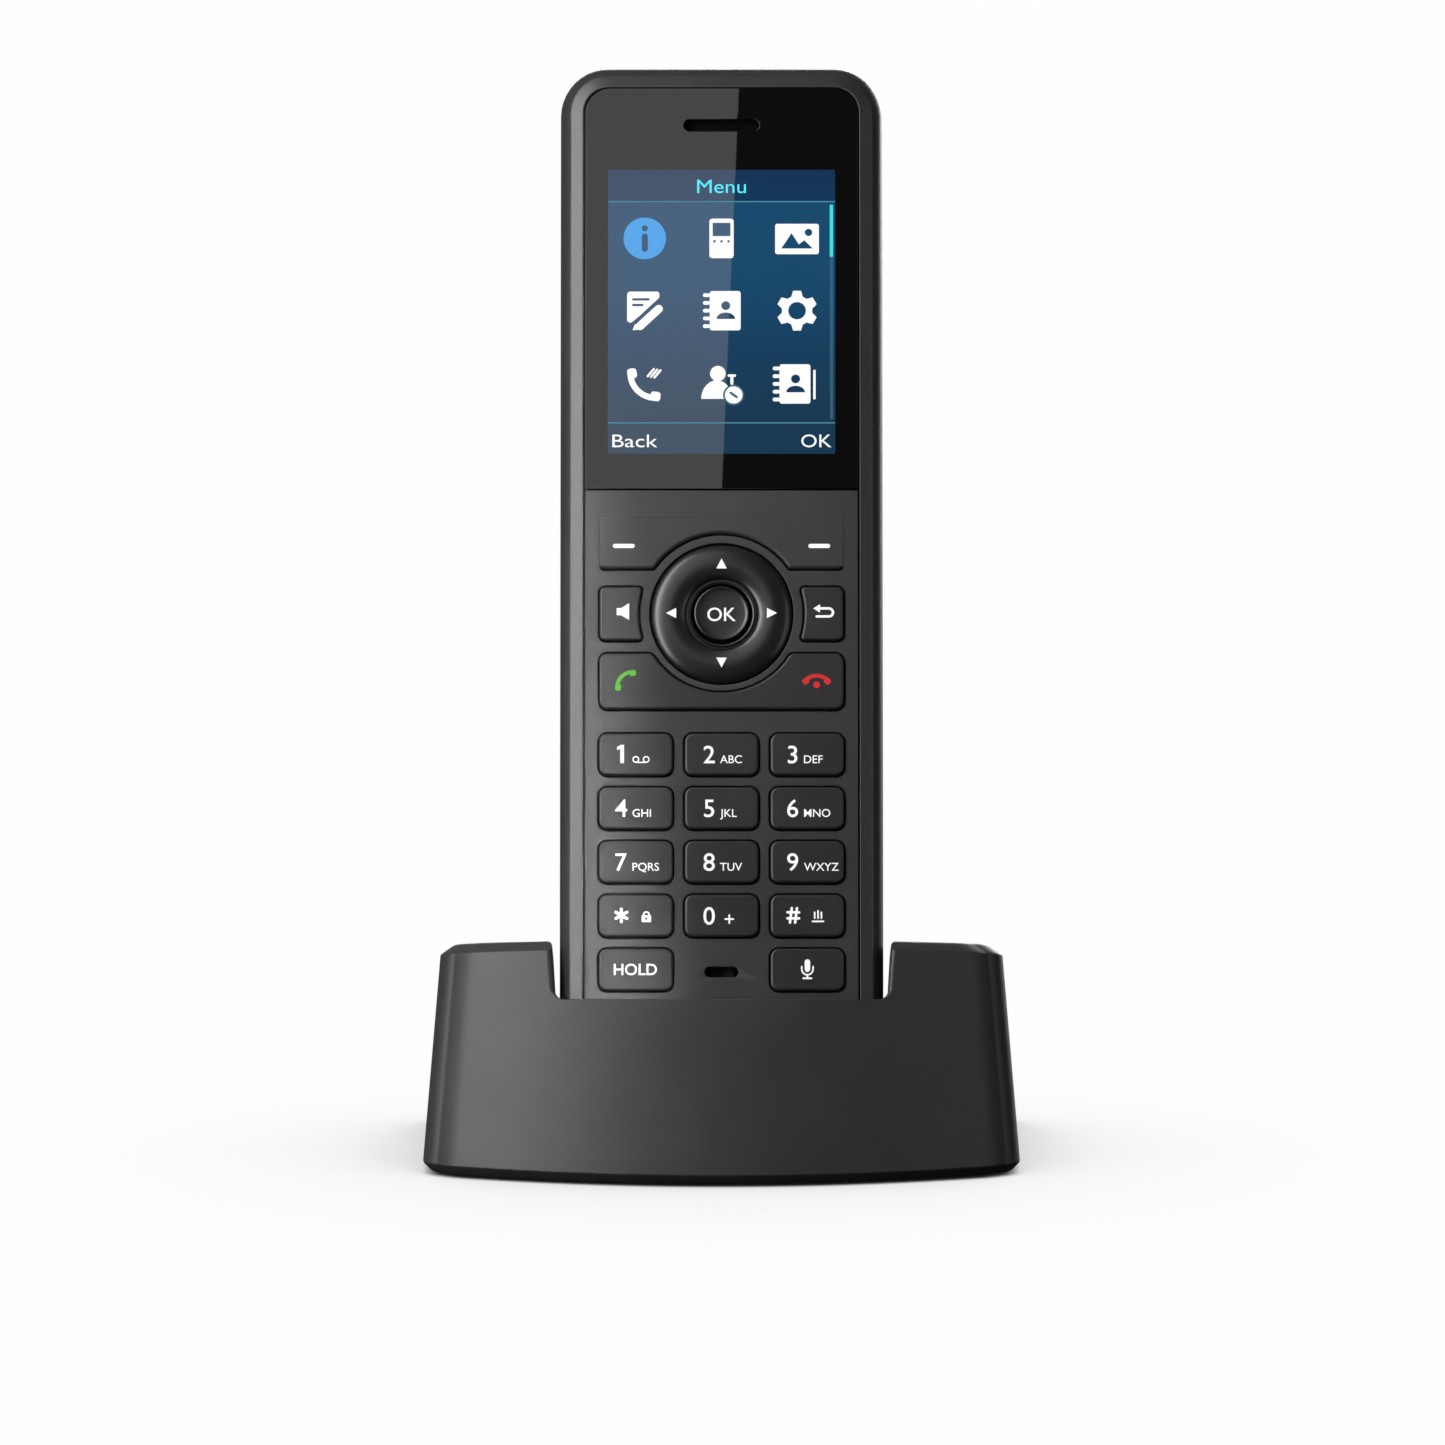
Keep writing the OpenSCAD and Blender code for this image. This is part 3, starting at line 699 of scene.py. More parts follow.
def side_key(side):
    """Key beside the ring, with a hollow inner side."""
    x, y, width, height = key_box("back_key")
    top, bottom = height / 2, -height / 2
    outer = call_high.x - 0.55
    hollow = BANK + 0.5
    inner = math.sqrt(hollow ** 2 - top ** 2)
    corners = [(outer, top, 1.0), (inner, top, 0.6)]
    corners += [(px, py, 0) for px, py in arc(0, 0, hollow, 15, -15, 8)]
    corners += [(inner, bottom, 0.6), (outer, bottom, 1.0)]
    outline = [(px, py + y) for px, py in fillet(corners)]
    return outline if side > 0 else [(-px, py) for px, py in reversed(outline)]


def call_bar():
    """Bar under the ring that carries both call keys."""
    half, low, high = call_high.x - 0.5, call_low.y + 0.5, call_high.y - 0.5
    inner = math.sqrt(BANK ** 2 - (nav_y - high) ** 2)
    angle = math.degrees(math.asin((nav_y - high) / BANK))
    corners = [(half, high, 1.4), (inner, high, 1.2)]
    corners += [(px, py, 0) for px, py in arc(0, nav_y, BANK, -angle - 6, angle - 174, 28)]
    corners += [(-inner, high, 1.2), (-half, high, 1.4), (-half, low, 1.4), (half, low, 1.4)]
    return fillet(corners)


def soft_bar(low_gap=0.0):
    """Bar over the ring; only its lower edge shows as a groove."""
    half, low, high = call_high.x - 0.5, rocker_low.y + 0.5 + low_gap, rocker_high.y - 0.5
    reach = BANK + low_gap
    inner = math.sqrt(reach ** 2 - (low - nav_y) ** 2)
    angle = math.degrees(math.asin((low - nav_y) / reach))
    corners = [(half, high, 0), (-half, high, 0), (-half, low + CURL, 0), (-half, low, 0.8),
               (-inner, low, 0.8)]
    corners += [(px, py, 0) for px, py in arc(0, nav_y, reach, 174 - angle, angle + 6, 28)]
    corners += [(inner, low, 0.8), (half, low, 0.8), (half, low + CURL, 0)]
    return fillet(corners)


number_rows = [["key_1", "key_2", "key_3"], ["key_4", "key_5", "key_6"], ["key_7", "key_8", "key_9"],
               ["key_star", "key_0", "key_hash"], ["key_hold", None, "key_mute"]]
number_nodes = [node for row in number_rows for node in row if node]
mic_low, mic_high = flat_box("microphone")
mic_y = (mic_low.y + mic_high.y) / 2
mic_slot = rounded(0, mic_y, 5.6, 1.75, 0.87, 8)
plate_holes = [grow(number_key(node), KEY_GAP) for node in number_nodes]
plate_holes += [grow(side_key(-1), KEY_GAP), grow(side_key(1), KEY_GAP), grow(call_bar(), KEY_GAP),
                circle(0, nav_y, ring_radius + KEY_GAP, 96), mic_slot]
half_plate = plate_high.x
plate_outline = fillet([(half_plate, plate_high.y, 0), (-half_plate, plate_high.y, 0),
                        (-half_plate, plate_low.y, 4.2), (half_plate, plate_low.y, 4.2)], 10)
plate_mesh = curve_mesh("face_plate", [plate_outline] + plate_holes,
                        plate_high.z - plate_low.z, 0.1, plate_high.z)
plate_mesh = cut(plate_mesh, [prism("soft_bar_seat", soft_bar(), plate_low.z - 1, plate_high.z + 1)])
face_plate = new_piece("keypad_plate", plate_mesh, stand_up)
dress(face_plate, fascia_plastic, "handset", "fascia", "face_plate")
print("openings in the plate:", len(plate_holes))

# %% [markdown]
# ## Keys
#
# A key is a cap that pokes through the plate and a flange under it, so that it can't fall out. The
# top is flat with a small rolled edge, and that edge is what catches the light at the top left. One
# function lofts any outline into a key.

# %% Keys
def key_piece(name, outline, material, body, slot, *nodes, top=0.5, foot=-4.0, roll=0.45, rolled=None):
    """Cap of a key with a rolled edge and a flange; rolled says which points of the outline roll."""
    profile = [(FLANGE - 0.1, foot), (FLANGE - 0.1, foot + 0.5), (0.0, foot + 0.5), (0.0, top - roll)]
    profile += [(-roll * (1 - math.cos(math.radians(a))), top - roll + roll * math.sin(math.radians(a)))
                for a in (18, 36, 54, 72, 90)]
    rolls = [1.0 if rolled is None or rolled(x, y) else 0.02 for x, y in outline]
    rings = [at_height(grow(outline, by if by > 0 else [by * share for share in rolls]), z)
             for by, z in profile]
    piece = new_piece(name, loft_mesh(name, rings), stand_up)
    return dress(piece, material, body, slot, *nodes)


for node in number_nodes:
    key_piece(node + "_cap", number_key(node), key_plastic, "b_" + node, "keys", node)
key_piece("speaker_key_cap", side_key(-1), key_plastic, "b_speaker_key", "keys", "speaker_key")
key_piece("back_key_cap", side_key(1), key_plastic, "b_back_key", "keys", "back_key")
key_piece("call_end_cap", call_bar(), key_plastic, "call_rocker", "keys", "call_end_rocker", foot=-4.2)
soft_cap = [(x * 0.9975, min(y, rocker_high.y - 0.508)) for x, y in soft_bar(0.38)]
key_piece("soft_bar_cap", soft_cap, fascia_plastic, "soft_rocker", "fascia", "soft_key_rocker",
          top=plate_high.z, foot=-4.2, roll=0.6, rolled=lambda x, y: y < rocker_low.y + 1.2 or abs(x) < 12)
print("keys:", len(number_nodes) + 4)

# %% [markdown]
# ## Ring and OK key
#
# The round key is a ring with a crown: it rises from its outer edge to the middle of its width and
# falls again to a groove. Inside the groove a thin ridge stands round the OK key, whose top is a
# shallow dish. Both are turned shapes, so both are lofts of circles. The crown gives the long crescent
# highlights on its left and its inner right side, and the ridge gives the fine bright line.

# %% Ring and OK key
ok_low, ok_high = flat_box("ok_key")
ok_radius = (ok_high.x - ok_low.x) / 2 - 0.4
CROWN_STEPS = 12
ridge_radius = ok_radius + 0.42
ring_hole = ridge_radius + 0.95
crown = ring_high.z
ring_profile = [(ridge_radius, -2.9), (ridge_radius, -0.16), (ridge_radius + 0.06, -0.06),
                (ridge_radius + 0.34, 0.08), (ridge_radius + 0.44, 0.08), (ridge_radius + 0.5, -0.02),
                (ridge_radius + 0.54, -0.5), (ring_hole - 0.12, -0.5), (ring_hole - 0.08, -0.1),
                (ring_hole, 0.06)]
for step in range(1, CROWN_STEPS):
    share = step / CROWN_STEPS
    radius = ring_hole + (ring_radius - 0.35 - ring_hole) * share
    ring_profile.append((radius, 0.1 + (crown - 0.1) * math.sin(math.pi * share) ** 0.8))
ring_profile += [(ring_radius - 0.35, 0.02), (ring_radius - 0.1, -0.2), (ring_radius, -0.5),
                 (ring_radius, -2.9)]
ring_rings = [at_height(circle(0, nav_y, radius, 128), z) for radius, z in ring_profile]
nav_ring = new_piece("round_key", loft_mesh("round_key", ring_rings, True), stand_up, 40)
dress(nav_ring, ring_plastic, "ring", "ring", "nav_ring")

ok_profile = [(ok_radius, -4.0), (ok_radius, ok_high.z - 0.4), (ok_radius - 0.05, ok_high.z - 0.18),
              (ok_radius - 0.14, ok_high.z - 0.04), (ok_radius - 0.24, ok_high.z),
              (ok_radius - 0.34, ok_high.z - 0.02), (ok_radius - 0.62, ok_high.z - 0.15),
              (ok_radius - 0.75, ok_high.z - 0.18), (ok_radius - 2.5, ok_high.z - 0.18)]
ok_key = new_piece("ok_cap", loft_mesh("ok_cap", [at_height(circle(0, nav_y, r, 96), z)
                                                  for r, z in ok_profile]), stand_up)
dress(ok_key, ring_plastic, "b_ok_key", "ring", "ok_key")
print("ring radius, mm:", round(ring_radius, 2))

# %% [markdown]
# ## Window, display and earpiece
#
# The window is a thin clear sheet over black print, and only the display shines through. So the
# sheet is modelled as polished black, with the lit display as a very thin glossy layer on it. The
# slot of the earpiece is open, with a fine mesh behind it.

# %% Window and display
display_low, display_high = flat_box("lcd_panel")
LIT_HALF = 18.7
lit_low, lit_high = display_low.y + 0.7, display_high.y - 0.7
ear_low, ear_high = flat_box("earpiece_mesh")
ear_y = (ear_low.y + ear_high.y) / 2
ear_slot = rounded(0, ear_y, 12.5, 2.0, 0.99, 8)
half_glass = glass_high.x
glass_outline = fillet([(half_glass, glass_high.y, 4.2), (-half_glass, glass_high.y, 4.2),
                        (-half_glass, glass_low.y, 0), (half_glass, glass_low.y, 0)], 10)
glass_mesh = curve_mesh("window", [glass_outline, ear_slot], glass_high.z - glass_low.z, 0.08, glass_high.z)
window = new_piece("window_sheet", glass_mesh, stand_up)
dress(window, window_glass, "handset", "window", "display_window")


def display_material():
    """Blue glow that fades towards the lower edge, under a gloss."""
    material, nodes, links, surface = shader("lit_display")
    surface.inputs["Base Color"].default_value = (0.002, 0.002, 0.003, 1)
    surface.inputs["Roughness"].default_value = 0.012
    place = nodes.new("ShaderNodeTexCoord")
    turn = nodes.new("ShaderNodeVectorMath")
    turn.operation = "DOT_PRODUCT"
    turn.inputs[1].default_value = up_axis
    links.new(place.outputs["Object"], turn.inputs[0])
    base = board_origin.dot(up_axis)
    height = nodes.new("ShaderNodeMapRange")
    height.inputs["From Min"].default_value = (base + lit_low) * MM
    height.inputs["From Max"].default_value = (base + lit_high) * MM
    links.new(turn.outputs["Value"], height.inputs["Value"])
    ramp = nodes.new("ShaderNodeValToRGB")
    stops = [(0.0, (0.006, 0.036, 0.078)), (0.11, (0.006, 0.036, 0.078)), (0.35, (0.0045, 0.044, 0.105)),
             (0.6, (0.0055, 0.062, 0.142)), (0.885, (0.0055, 0.064, 0.148)), (0.89, (0.0030, 0.036, 0.095)),
             (1.0, (0.0030, 0.030, 0.088))]
    ramp.color_ramp.elements[0].position, ramp.color_ramp.elements[0].color = stops[0][0], (*stops[0][1], 1)
    ramp.color_ramp.elements[1].position, ramp.color_ramp.elements[1].color = stops[-1][0], (*stops[-1][1], 1)
    for position, tone in stops[1:-1]:
        ramp.color_ramp.elements.new(position).color = (*tone, 1)
    links.new(height.outputs["Result"], ramp.inputs["Fac"])
    links.new(ramp.outputs["Color"], surface.inputs["Emission Color"])
    surface.inputs["Emission Strength"].default_value = 1.0
    return material


lit_display = display_material()
lit_mid = (lit_low + lit_high) / 2
LIT_TOP = glass_high.z + 0.03
lit_mesh = curve_mesh("lit", [rounded(0, lit_mid, 2 * LIT_HALF, lit_high - lit_low, 0.3, 3)],
                      0.2, 0.0, LIT_TOP)
lit = new_piece("lit_display", lit_mesh, stand_up)
dress(lit, lit_display, "handset", "display", "lcd_panel")
print("lit display, mm:", round(2 * LIT_HALF, 1), "x", round(lit_high - lit_low, 1))

# %% Earpiece mesh
ear_width, ear_height = ear_high.x - ear_low.x, ear_high.y - ear_low.y
bead = loft_mesh("ear_bead", [at_height(circle(0, 0, r, 6), z) for r, z in
                              ((0.2, 0), (0.2, 0.12), (0.1, 0.16))])
bead_places = [(-ear_width / 2 + 0.35 + 0.5 * i, ear_y - 0.9 + 0.45 * j, -1.95)
               for i in range(25) for j in range(5)]
ear_beads = repeated("ear_beads", bead, bead_places, steel)
ear_back = curve_mesh("ear_back", [rounded(0, ear_y, ear_width, ear_height, 1.25, 6)], 0.4, 0.0, -1.95)


def merge(name, meshes):
    """One mesh out of several."""
    skin = bmesh.new()
    for mesh in meshes:
        skin.from_mesh(mesh)
    merged = bpy.data.meshes.new(name)
    skin.to_mesh(merged)
    skin.free()
    return merged


# The screen's near-black tone is the mesh's own black plus painted shade of the slot it sits in.
ear_screen = new_piece("earpiece_screen", merge("ear", [ear_back, ear_beads]), stand_up)
dress(ear_screen, mesh_black_and_shade, "handset", "mesh", "earpiece_mesh")
print("beads in the earpiece's mesh:", len(bead_places))

# %% [markdown]
# ## Print
#
# The marks on the keys and the symbols on the display are flat shapes a few hundredths of a
# millimetre thick, which is what screen printing really leaves. They are filled curves, so even a
# small letter keeps a crisp edge, and each print rides with its own key.

# %% Print kit
def capsule(x1, y1, x2, y2, width):
    angle = math.degrees(math.atan2(y2 - y1, x2 - x1))
    return (arc(x2, y2, width / 2, angle - 90, angle + 90, 8)
            + arc(x1, y1, width / 2, angle + 90, angle + 270, 8))


def stroke(cx, cy, radius, start, end, width, steps=18):
    """Band along an arc."""
    return (arc(cx, cy, radius + width / 2, start, end, steps)
            + arc(cx, cy, radius - width / 2, end, start, steps))


def hoop(cx, cy, radius, width, steps=32):
    return [circle(cx, cy, radius + width / 2, steps), circle(cx, cy, radius - width / 2, steps)]


def turned(outline, cx, cy, angle):
    spin = math.radians(angle)
    return [(cx + (x - cx) * math.cos(spin) - (y - cy) * math.sin(spin),
             cy + (x - cx) * math.sin(spin) + (y - cy) * math.cos(spin)) for x, y in outline]


PRINT = 0.03


def flat_shapes(shapes, z):
    """Mesh of several flat shapes; a shape is one outline, or an outline and its holes."""
    meshes = [curve_mesh("shape", shape if isinstance(shape[0][0], tuple) else [shape], PRINT + 0.02,
                         0.0, z + PRINT) for shape in shapes]
    return merge("shapes", meshes)


def words(text, height, x, y, z, weight=0.0, align="LEFT", stretch=1.0):
    """Mesh of a text with its capital height in millimetres and its left end or middle at x, y."""
    letters = bpy.data.curves.new("words", "FONT")
    letters.body = text
    letters.size = height / 0.729
    letters.offset = weight
    letters.extrude = (PRINT + 0.02) / 2
    letters.resolution_u = 4
    mesh = plain_mesh("words", letters)
    xs = [vertex.co.x for vertex in mesh.vertices]
    start = min(xs) if align == "LEFT" else (min(xs) + max(xs)) / 2
    mesh.transform(Matrix.Translation((x, y, z + PRINT / 2 - 0.01))
                   @ Matrix.Diagonal((stretch, 1, 1, 1)) @ Matrix.Translation((-start, 0, 0)))
    return mesh


def printed(name, meshes, material, body, slot):
    piece = new_piece(name, merge(name, meshes), stand_up)
    return dress(piece, material, body, slot)


# %% Print on the number keys
letters_of = {"key_2": "ABC", "key_3": "DEF", "key_4": "GHI", "key_5": "JKL", "key_6": "MNO",
              "key_7": "PQRS", "key_8": "TUV", "key_9": "WXYZ"}
KEY_TOP = 0.5
DIGIT = 3.05
SMALL = 1.38


def padlock(x, y):
    body = [rounded(x, y - 0.35, 1.55, 1.15, 0.12, 3), circle(x, y - 0.35, 0.2, 12)]
    return [body, stroke(x, y + 0.3, 0.46, 0, 180, 0.24), rounded(x - 0.46, y + 0.24, 0.24, 0.2, 0.02, 2),
            rounded(x + 0.46, y + 0.24, 0.24, 0.2, 0.02, 2)]


def microphone(x, y):
    return [capsule(x, y - 0.1, x, y + 1.1, 0.9), stroke(x, y - 0.1, 0.92, 180, 360, 0.24),
            capsule(x - 0.92, y - 0.1, x - 0.92, y + 0.35, 0.24),
            capsule(x + 0.92, y - 0.1, x + 0.92, y + 0.35, 0.24), capsule(x, y - 1.05, x, y - 1.5, 0.3),
            capsule(x - 0.65, y - 1.6, x + 0.65, y - 1.6, 0.28)]


def layered(shapes, z):
    """Overlapping shapes, each a hair above the last, so that none fights with another."""
    return [flat_shapes([shape], z + 0.002 * i) for i, shape in enumerate(shapes)]


for node in number_nodes:
    x, y, width, height = key_box(node)
    name = node[4:]
    parts = []
    low = y - 1.52
    outer_column = abs(x) > 5
    digit_x = x - (2.4 if outer_column else 2.03)
    letter_x = x - (0.53 if outer_column else 0.25)
    if name == "1":
        parts.append(flat_shapes([[(digit_x + 0.46, low), (digit_x + 0.46, low + DIGIT),
                                   (digit_x - 0.02, low + DIGIT), (digit_x - 0.66, low + 2.7),
                                   (digit_x - 0.66, low + 2.2), (digit_x - 0.14, low + 2.4),
                                   (digit_x - 0.14, low)]], KEY_TOP))
    elif name.isdigit():
        parts.append(words(name, DIGIT, digit_x, low, KEY_TOP, 0.02, "CENTER"))
    if node in letters_of:
        parts.append(words(letters_of[node], SMALL, letter_x, low, KEY_TOP, 0.004))
    if name == "1":
        parts += layered([hoop(x, low + 0.62, 0.46, 0.2), hoop(x + 1.7, low + 0.62, 0.46, 0.2),
                          capsule(x, low + 0.12, x + 1.7, low + 0.12, 0.2)], KEY_TOP)
    if name == "0":
        parts += layered([capsule(x + 0.62, low + 0.9, x + 1.92, low + 0.9, 0.28),
                          capsule(x + 1.27, low + 0.25, x + 1.27, low + 1.55, 0.28)], KEY_TOP)
    if name == "star":
        parts += layered([turned(capsule(x - 3.4, y, x - 1.3, y, 0.5), x - 2.35, y, a)
                          for a in (30, 90, 150)], KEY_TOP)
        parts += layered(padlock(x + 1.74, y - 0.2), KEY_TOP)
    if name == "hash":
        bars = [capsule(x - 3.25, y + d, x - 1.35, y + d, 0.4) for d in (-0.5, 0.5)]
        bars += [capsule(x - 2.85 + d, y - 1.2, x - 2.55 + d, y + 1.2, 0.4) for d in (0, 0.85)]
        parts += layered(bars, KEY_TOP)
        parts += layered([capsule(x + 1.2, y - 0.45, x + 1.2, y + 0.5, 0.26),
                          capsule(x + 1.75, y - 0.45, x + 1.75, y + 0.75, 0.26),
                          capsule(x + 2.3, y - 0.45, x + 2.3, y + 0.5, 0.26),
                          capsule(x + 0.85, y - 1.0, x + 2.65, y - 1.0, 0.26)], KEY_TOP)
    if name == "hold":
        parts.append(words("HOLD", 1.95, x - 0.05, y - 0.95, KEY_TOP, 0.03, "CENTER", 0.98))
    if name == "mute":
        parts += layered(microphone(x, y + 0.1), KEY_TOP)
    printed(node + "_print", parts, white_ink, "b_" + node, "keys")
print("printed keys:", len(number_nodes))

# %% Print round the ring
def speaker_symbol(x, y):
    return [[(x - 1.05, y - 0.6), (x - 0.3, y - 0.6), (x + 1.0, y - 1.4), (x + 1.0, y + 1.4),
             (x - 0.3, y + 0.6), (x - 1.05, y + 0.6)]]


def return_symbol(x, y):
    head = [(x - 1.65, y + 0.55), (x - 0.55, y - 0.15), (x - 0.55, y + 1.25)]
    return [head, rounded(x + 0.15, y + 0.55, 1.6, 0.4, 0.02, 2),
            stroke(x + 0.9, y - 0.12, 0.67, -90, 90, 0.4),
            capsule(x - 1.1, y - 0.79, x + 0.92, y - 0.79, 0.4)]


def handset_symbol(x, y, angle, size=1.0):
    """Telephone handset with its back towards +Y, turned by an angle."""
    grip = stroke(x, y - 2.35, 2.6, 52, 128, 0.62)
    ends = [turned(rounded(x + s * 1.72, y - 0.62, 1.05, 0.98, 0.3, 4), x + s * 1.72, y - 0.62, -38 * s)
            for s in (-1, 1)]
    shapes = [turned(shape, x, y, angle) for shape in [grip] + ends]
    return [[(x + (px - x) * size, y + (py - y) * size) for px, py in shape] for shape in shapes]


side_x = (call_high.x - 0.55 + BANK + 0.5) / 2
printed("speaker_key_print", layered(speaker_symbol(-side_x + 0.65, nav_y + 0.25), KEY_TOP), white_ink,
        "b_speaker_key", "keys")
printed("back_key_print", layered(return_symbol(side_x - 0.1, nav_y + 0.25), KEY_TOP), white_ink,
        "b_back_key", "keys")
call_y = (call_low.y + call_high.y) / 2
printed("call_print", layered(handset_symbol(-16.2, call_y + 0.55, 45), KEY_TOP), green_ink,
        "call_rocker", "keys")
end_shapes = handset_symbol(15.6, call_y + 0.6, 0, 1.03) + [circle(15.6, call_y - 0.66, 0.56, 24)]
printed("end_print", layered(end_shapes, KEY_TOP), red_ink, "call_rocker", "keys")
ARROW_BASE, ARROW_TIP, ARROW_HALF = 7.45, 9.1, 0.85
arrows = []
for angle in (0, 90, 180, 270):
    tip = [(0, ARROW_TIP), (-ARROW_HALF, ARROW_BASE), (ARROW_HALF, ARROW_BASE)]
    arrows.append([(x, y + nav_y) for x, y in turned(tip, 0, 0, angle)])
printed("arrow_print", [flat_shapes([arrow], crown - 0.02) for arrow in arrows], white_ink, "ring", "ring")
printed("ok_print", [words("OK", 2.35, 0, nav_y - 1.28, ok_high.z - 0.18, 0.014, "CENTER")], white_ink,
        "b_ok_key", "ring")
dash_y = nav_y + 11.37
printed("soft_dash_print", [flat_shapes([capsule(x - 1.45, dash_y, x + 1.45, dash_y, 0.7)], plate_high.z)
                            for x in (-16.05, 16.05)], white_ink, "soft_rocker", "fascia")
print("prints round the ring: 7")

# %% [markdown]
# ## Display symbols
#
# The menu on the display is nine plain symbols in three rows under a title bar. They are drawn here
# from circles, bars and arcs, as generic signs: information, calls, pictures, notes, contacts and
# settings. Each glows with the light of the display behind it.

# %% Display inks
sky_ink = ink("sky_ink", (0.08, 0.33, 0.72), 0.8)
cyan_ink = ink("cyan_ink", (0.08, 0.68, 0.83), 0.95)
teal_ink = ink("teal_ink", (0.04, 0.60, 0.60), 0.9)
pale_ink = ink("pale_ink", (0.84, 0.85, 0.86), 0.9)
line_ink = ink("line_ink", (0.05, 0.19, 0.29), 0.95)
track_ink = ink("track_ink", (0.022, 0.09, 0.15), 0.9)

# %% Bars, title and footer
header_y = lit_high - 5.36
footer_y = lit_low + 5.17
bar_x = LIT_HALF - 0.6


def on_display(name, shapes, material, lift=0.0):
    return printed(name, layered(shapes, LIT_TOP + lift), material, "handset", "display")


on_display("display_lines", [rounded(0, header_y, 2 * LIT_HALF, 0.2, 0.05, 2),
                             rounded(0, footer_y, 2 * LIT_HALF, 0.2, 0.05, 2)], line_ink)
on_display("display_track", [rounded(bar_x, (header_y + footer_y) / 2, 0.5,
                                     header_y - footer_y - 1.2, 0.1, 2)], track_ink)
on_display("display_scroll_bar", [rounded(bar_x, header_y - 4.9, 0.56, 8.8, 0.2, 3)], teal_ink, 0.012)
printed("display_title", [words("Menu", 2.4, 0, header_y + 1.45, LIT_TOP, -0.004, "CENTER", 1.15)],
        cyan_ink, "handset", "display")
printed("display_footer", [words("Back", 2.25, -LIT_HALF + 0.75, lit_low + 1.1, LIT_TOP, -0.004, "LEFT", 1.3),
                           words("OK", 2.25, LIT_HALF - 5.6, lit_low + 1.1, LIT_TOP, -0.004, "LEFT", 1.13)],
        pale_ink, "handset", "display")

# %% The nine symbols
x1, x2, x3 = -12.64, 0.0, 12.43
y1, y2, y3 = lit_high - 11.55, lit_high - 23.7, lit_high - 36.0


def gear(x, y, radius):
    teeth = []
    for i in range(6):
        for turn, reach in ((-22, 0.74), (-11, 1.0), (11, 1.0), (22, 0.74)):
            angle = math.radians(60 * i + 30 + turn)
            teeth.append((x + radius * reach * math.cos(angle), y + radius * reach * math.sin(angle)))
    return [teeth, circle(x, y, radius * 0.43, 24)]


def half_disc(x, y, radius, height=None):
    """Shoulders of a person sign: an arc over a straight lower edge."""
    squash = (height or radius) / radius
    return [(px, y + (py - y) * squash) for px, py in arc(x, y, radius, 0, 180, 16)]


def address_book(x, y, width):
    cover = [rounded(x + 0.6, y, width, 6.6, 0.4, 4), circle(x + 0.7, y + 0.85, 0.74, 24),
             half_disc(x + 0.7, y - 1.4, 1.55, 1.1)]
    rings = [capsule(x - width / 2 - 0.2, y + d, x - width / 2 + 0.35, y + d, 0.62)
             for d in (-2.6, -1.3, 0, 1.3, 2.6)]
    return [cover] + rings


on_display("sign_information", [[circle(x1, y1, 3.5, 48), circle(x1, y1 + 1.7, 0.5, 16),
                                 capsule(x1, y1 - 1.75, x1, y1 + 0.35, 1.0)]], sky_ink)
device = [rounded(x2, y1, 4.0, 6.65, 0.5, 4), rounded(x2, y1 + 1.5, 2.95, 2.25, 0.15, 3)]
device += [circle(x2 + d, y1 - 0.5, 0.22, 12) for d in (-1.15, 0, 1.15)]
on_display("sign_device", [device], pale_ink)
picture = [rounded(x3, y1 - 0.1, 7.2, 5.1, 0.35, 4), circle(x3 + 1.9, y1 + 1.0, 0.62, 20),
           [(x3 + 2.6, y1 - 1.7), (x3 + 1.2, y1 - 0.3), (x3 + 0.3, y1 - 1.0), (x3 - 0.9, y1 + 0.9),
            (x3 - 2.6, y1 - 1.7)]]
on_display("sign_picture", [picture], pale_ink)
note = [fillet([(x1 + 2.4, y2 + 3.2, 0.4), (x1 - 2.9, y2 + 3.2, 0.5), (x1 - 2.9, y2 - 2.6, 0.5),
                (x1 - 1.0, y2 - 1.0, 0.2), (x1 + 2.4, y2 + 2.2, 0.2)])]
note += [capsule(x1 - 1.9, y2 + 1.9, x1 + 0.6, y2 + 1.9, 0.4),
         capsule(x1 - 1.9, y2 + 0.95, x1 - 0.4, y2 + 0.95, 0.4)]
on_display("sign_note", [note, capsule(x1 - 0.8, y2 - 2.6, x1 + 2.3, y2 + 0.3, 1.35),
                         [(x1 - 2.0, y2 - 3.3), (x1 - 0.6, y2 - 3.1), (x1 - 1.6, y2 - 2.2)]], pale_ink)
on_display("sign_contacts", address_book(x2, y2, 5.1), pale_ink)
on_display("sign_settings", [gear(x3, y2, 3.4)], pale_ink)
on_display("sign_calls", handset_symbol(x1 - 0.85, y3 - 0.85, 135, 1.58), pale_ink)
waves = [capsule(x1 + 0.5 + d, y3 + 1.3 - 0.2 * d, x1 + 1.5 + d, y3 + 2.5 - 0.2 * d, 0.36)
         for d in (0, 0.55, 1.1)]
on_display("sign_call_waves", waves, pale_ink)
on_display("sign_person", [circle(x2 - 0.6, y3 + 1.75, 1.28, 28), half_disc(x2 - 0.8, y3 - 2.5, 2.55, 3.1)],
           pale_ink)
on_display("sign_person_gap", [circle(x2 + 2.0, y3 - 1.85, 1.75, 28)], track_ink, 0.012)
on_display("sign_person_dial", [[circle(x2 + 2.0, y3 - 1.85, 1.45, 28),
                                 turned(capsule(x2 + 1.4, y3 - 1.85, x2 + 2.6, y3 - 1.85, 0.42), x2 + 2.0,
                                        y3 - 1.85, -35)],
                                capsule(x2 + 1.7, y3 + 0.1, x2 + 1.7, y3 + 1.3, 0.5),
                                capsule(x2 + 1.2, y3 + 1.4, x2 + 2.2, y3 + 1.4, 0.4)], pale_ink, 0.02)
spine = capsule(x3 + 2.85, y3 - 2.4, x3 + 2.85, y3 + 2.2, 0.4)
on_display("sign_book", address_book(x3 - 0.95, y3, 5.1) + [spine], pale_ink)
print("display symbols: 9")

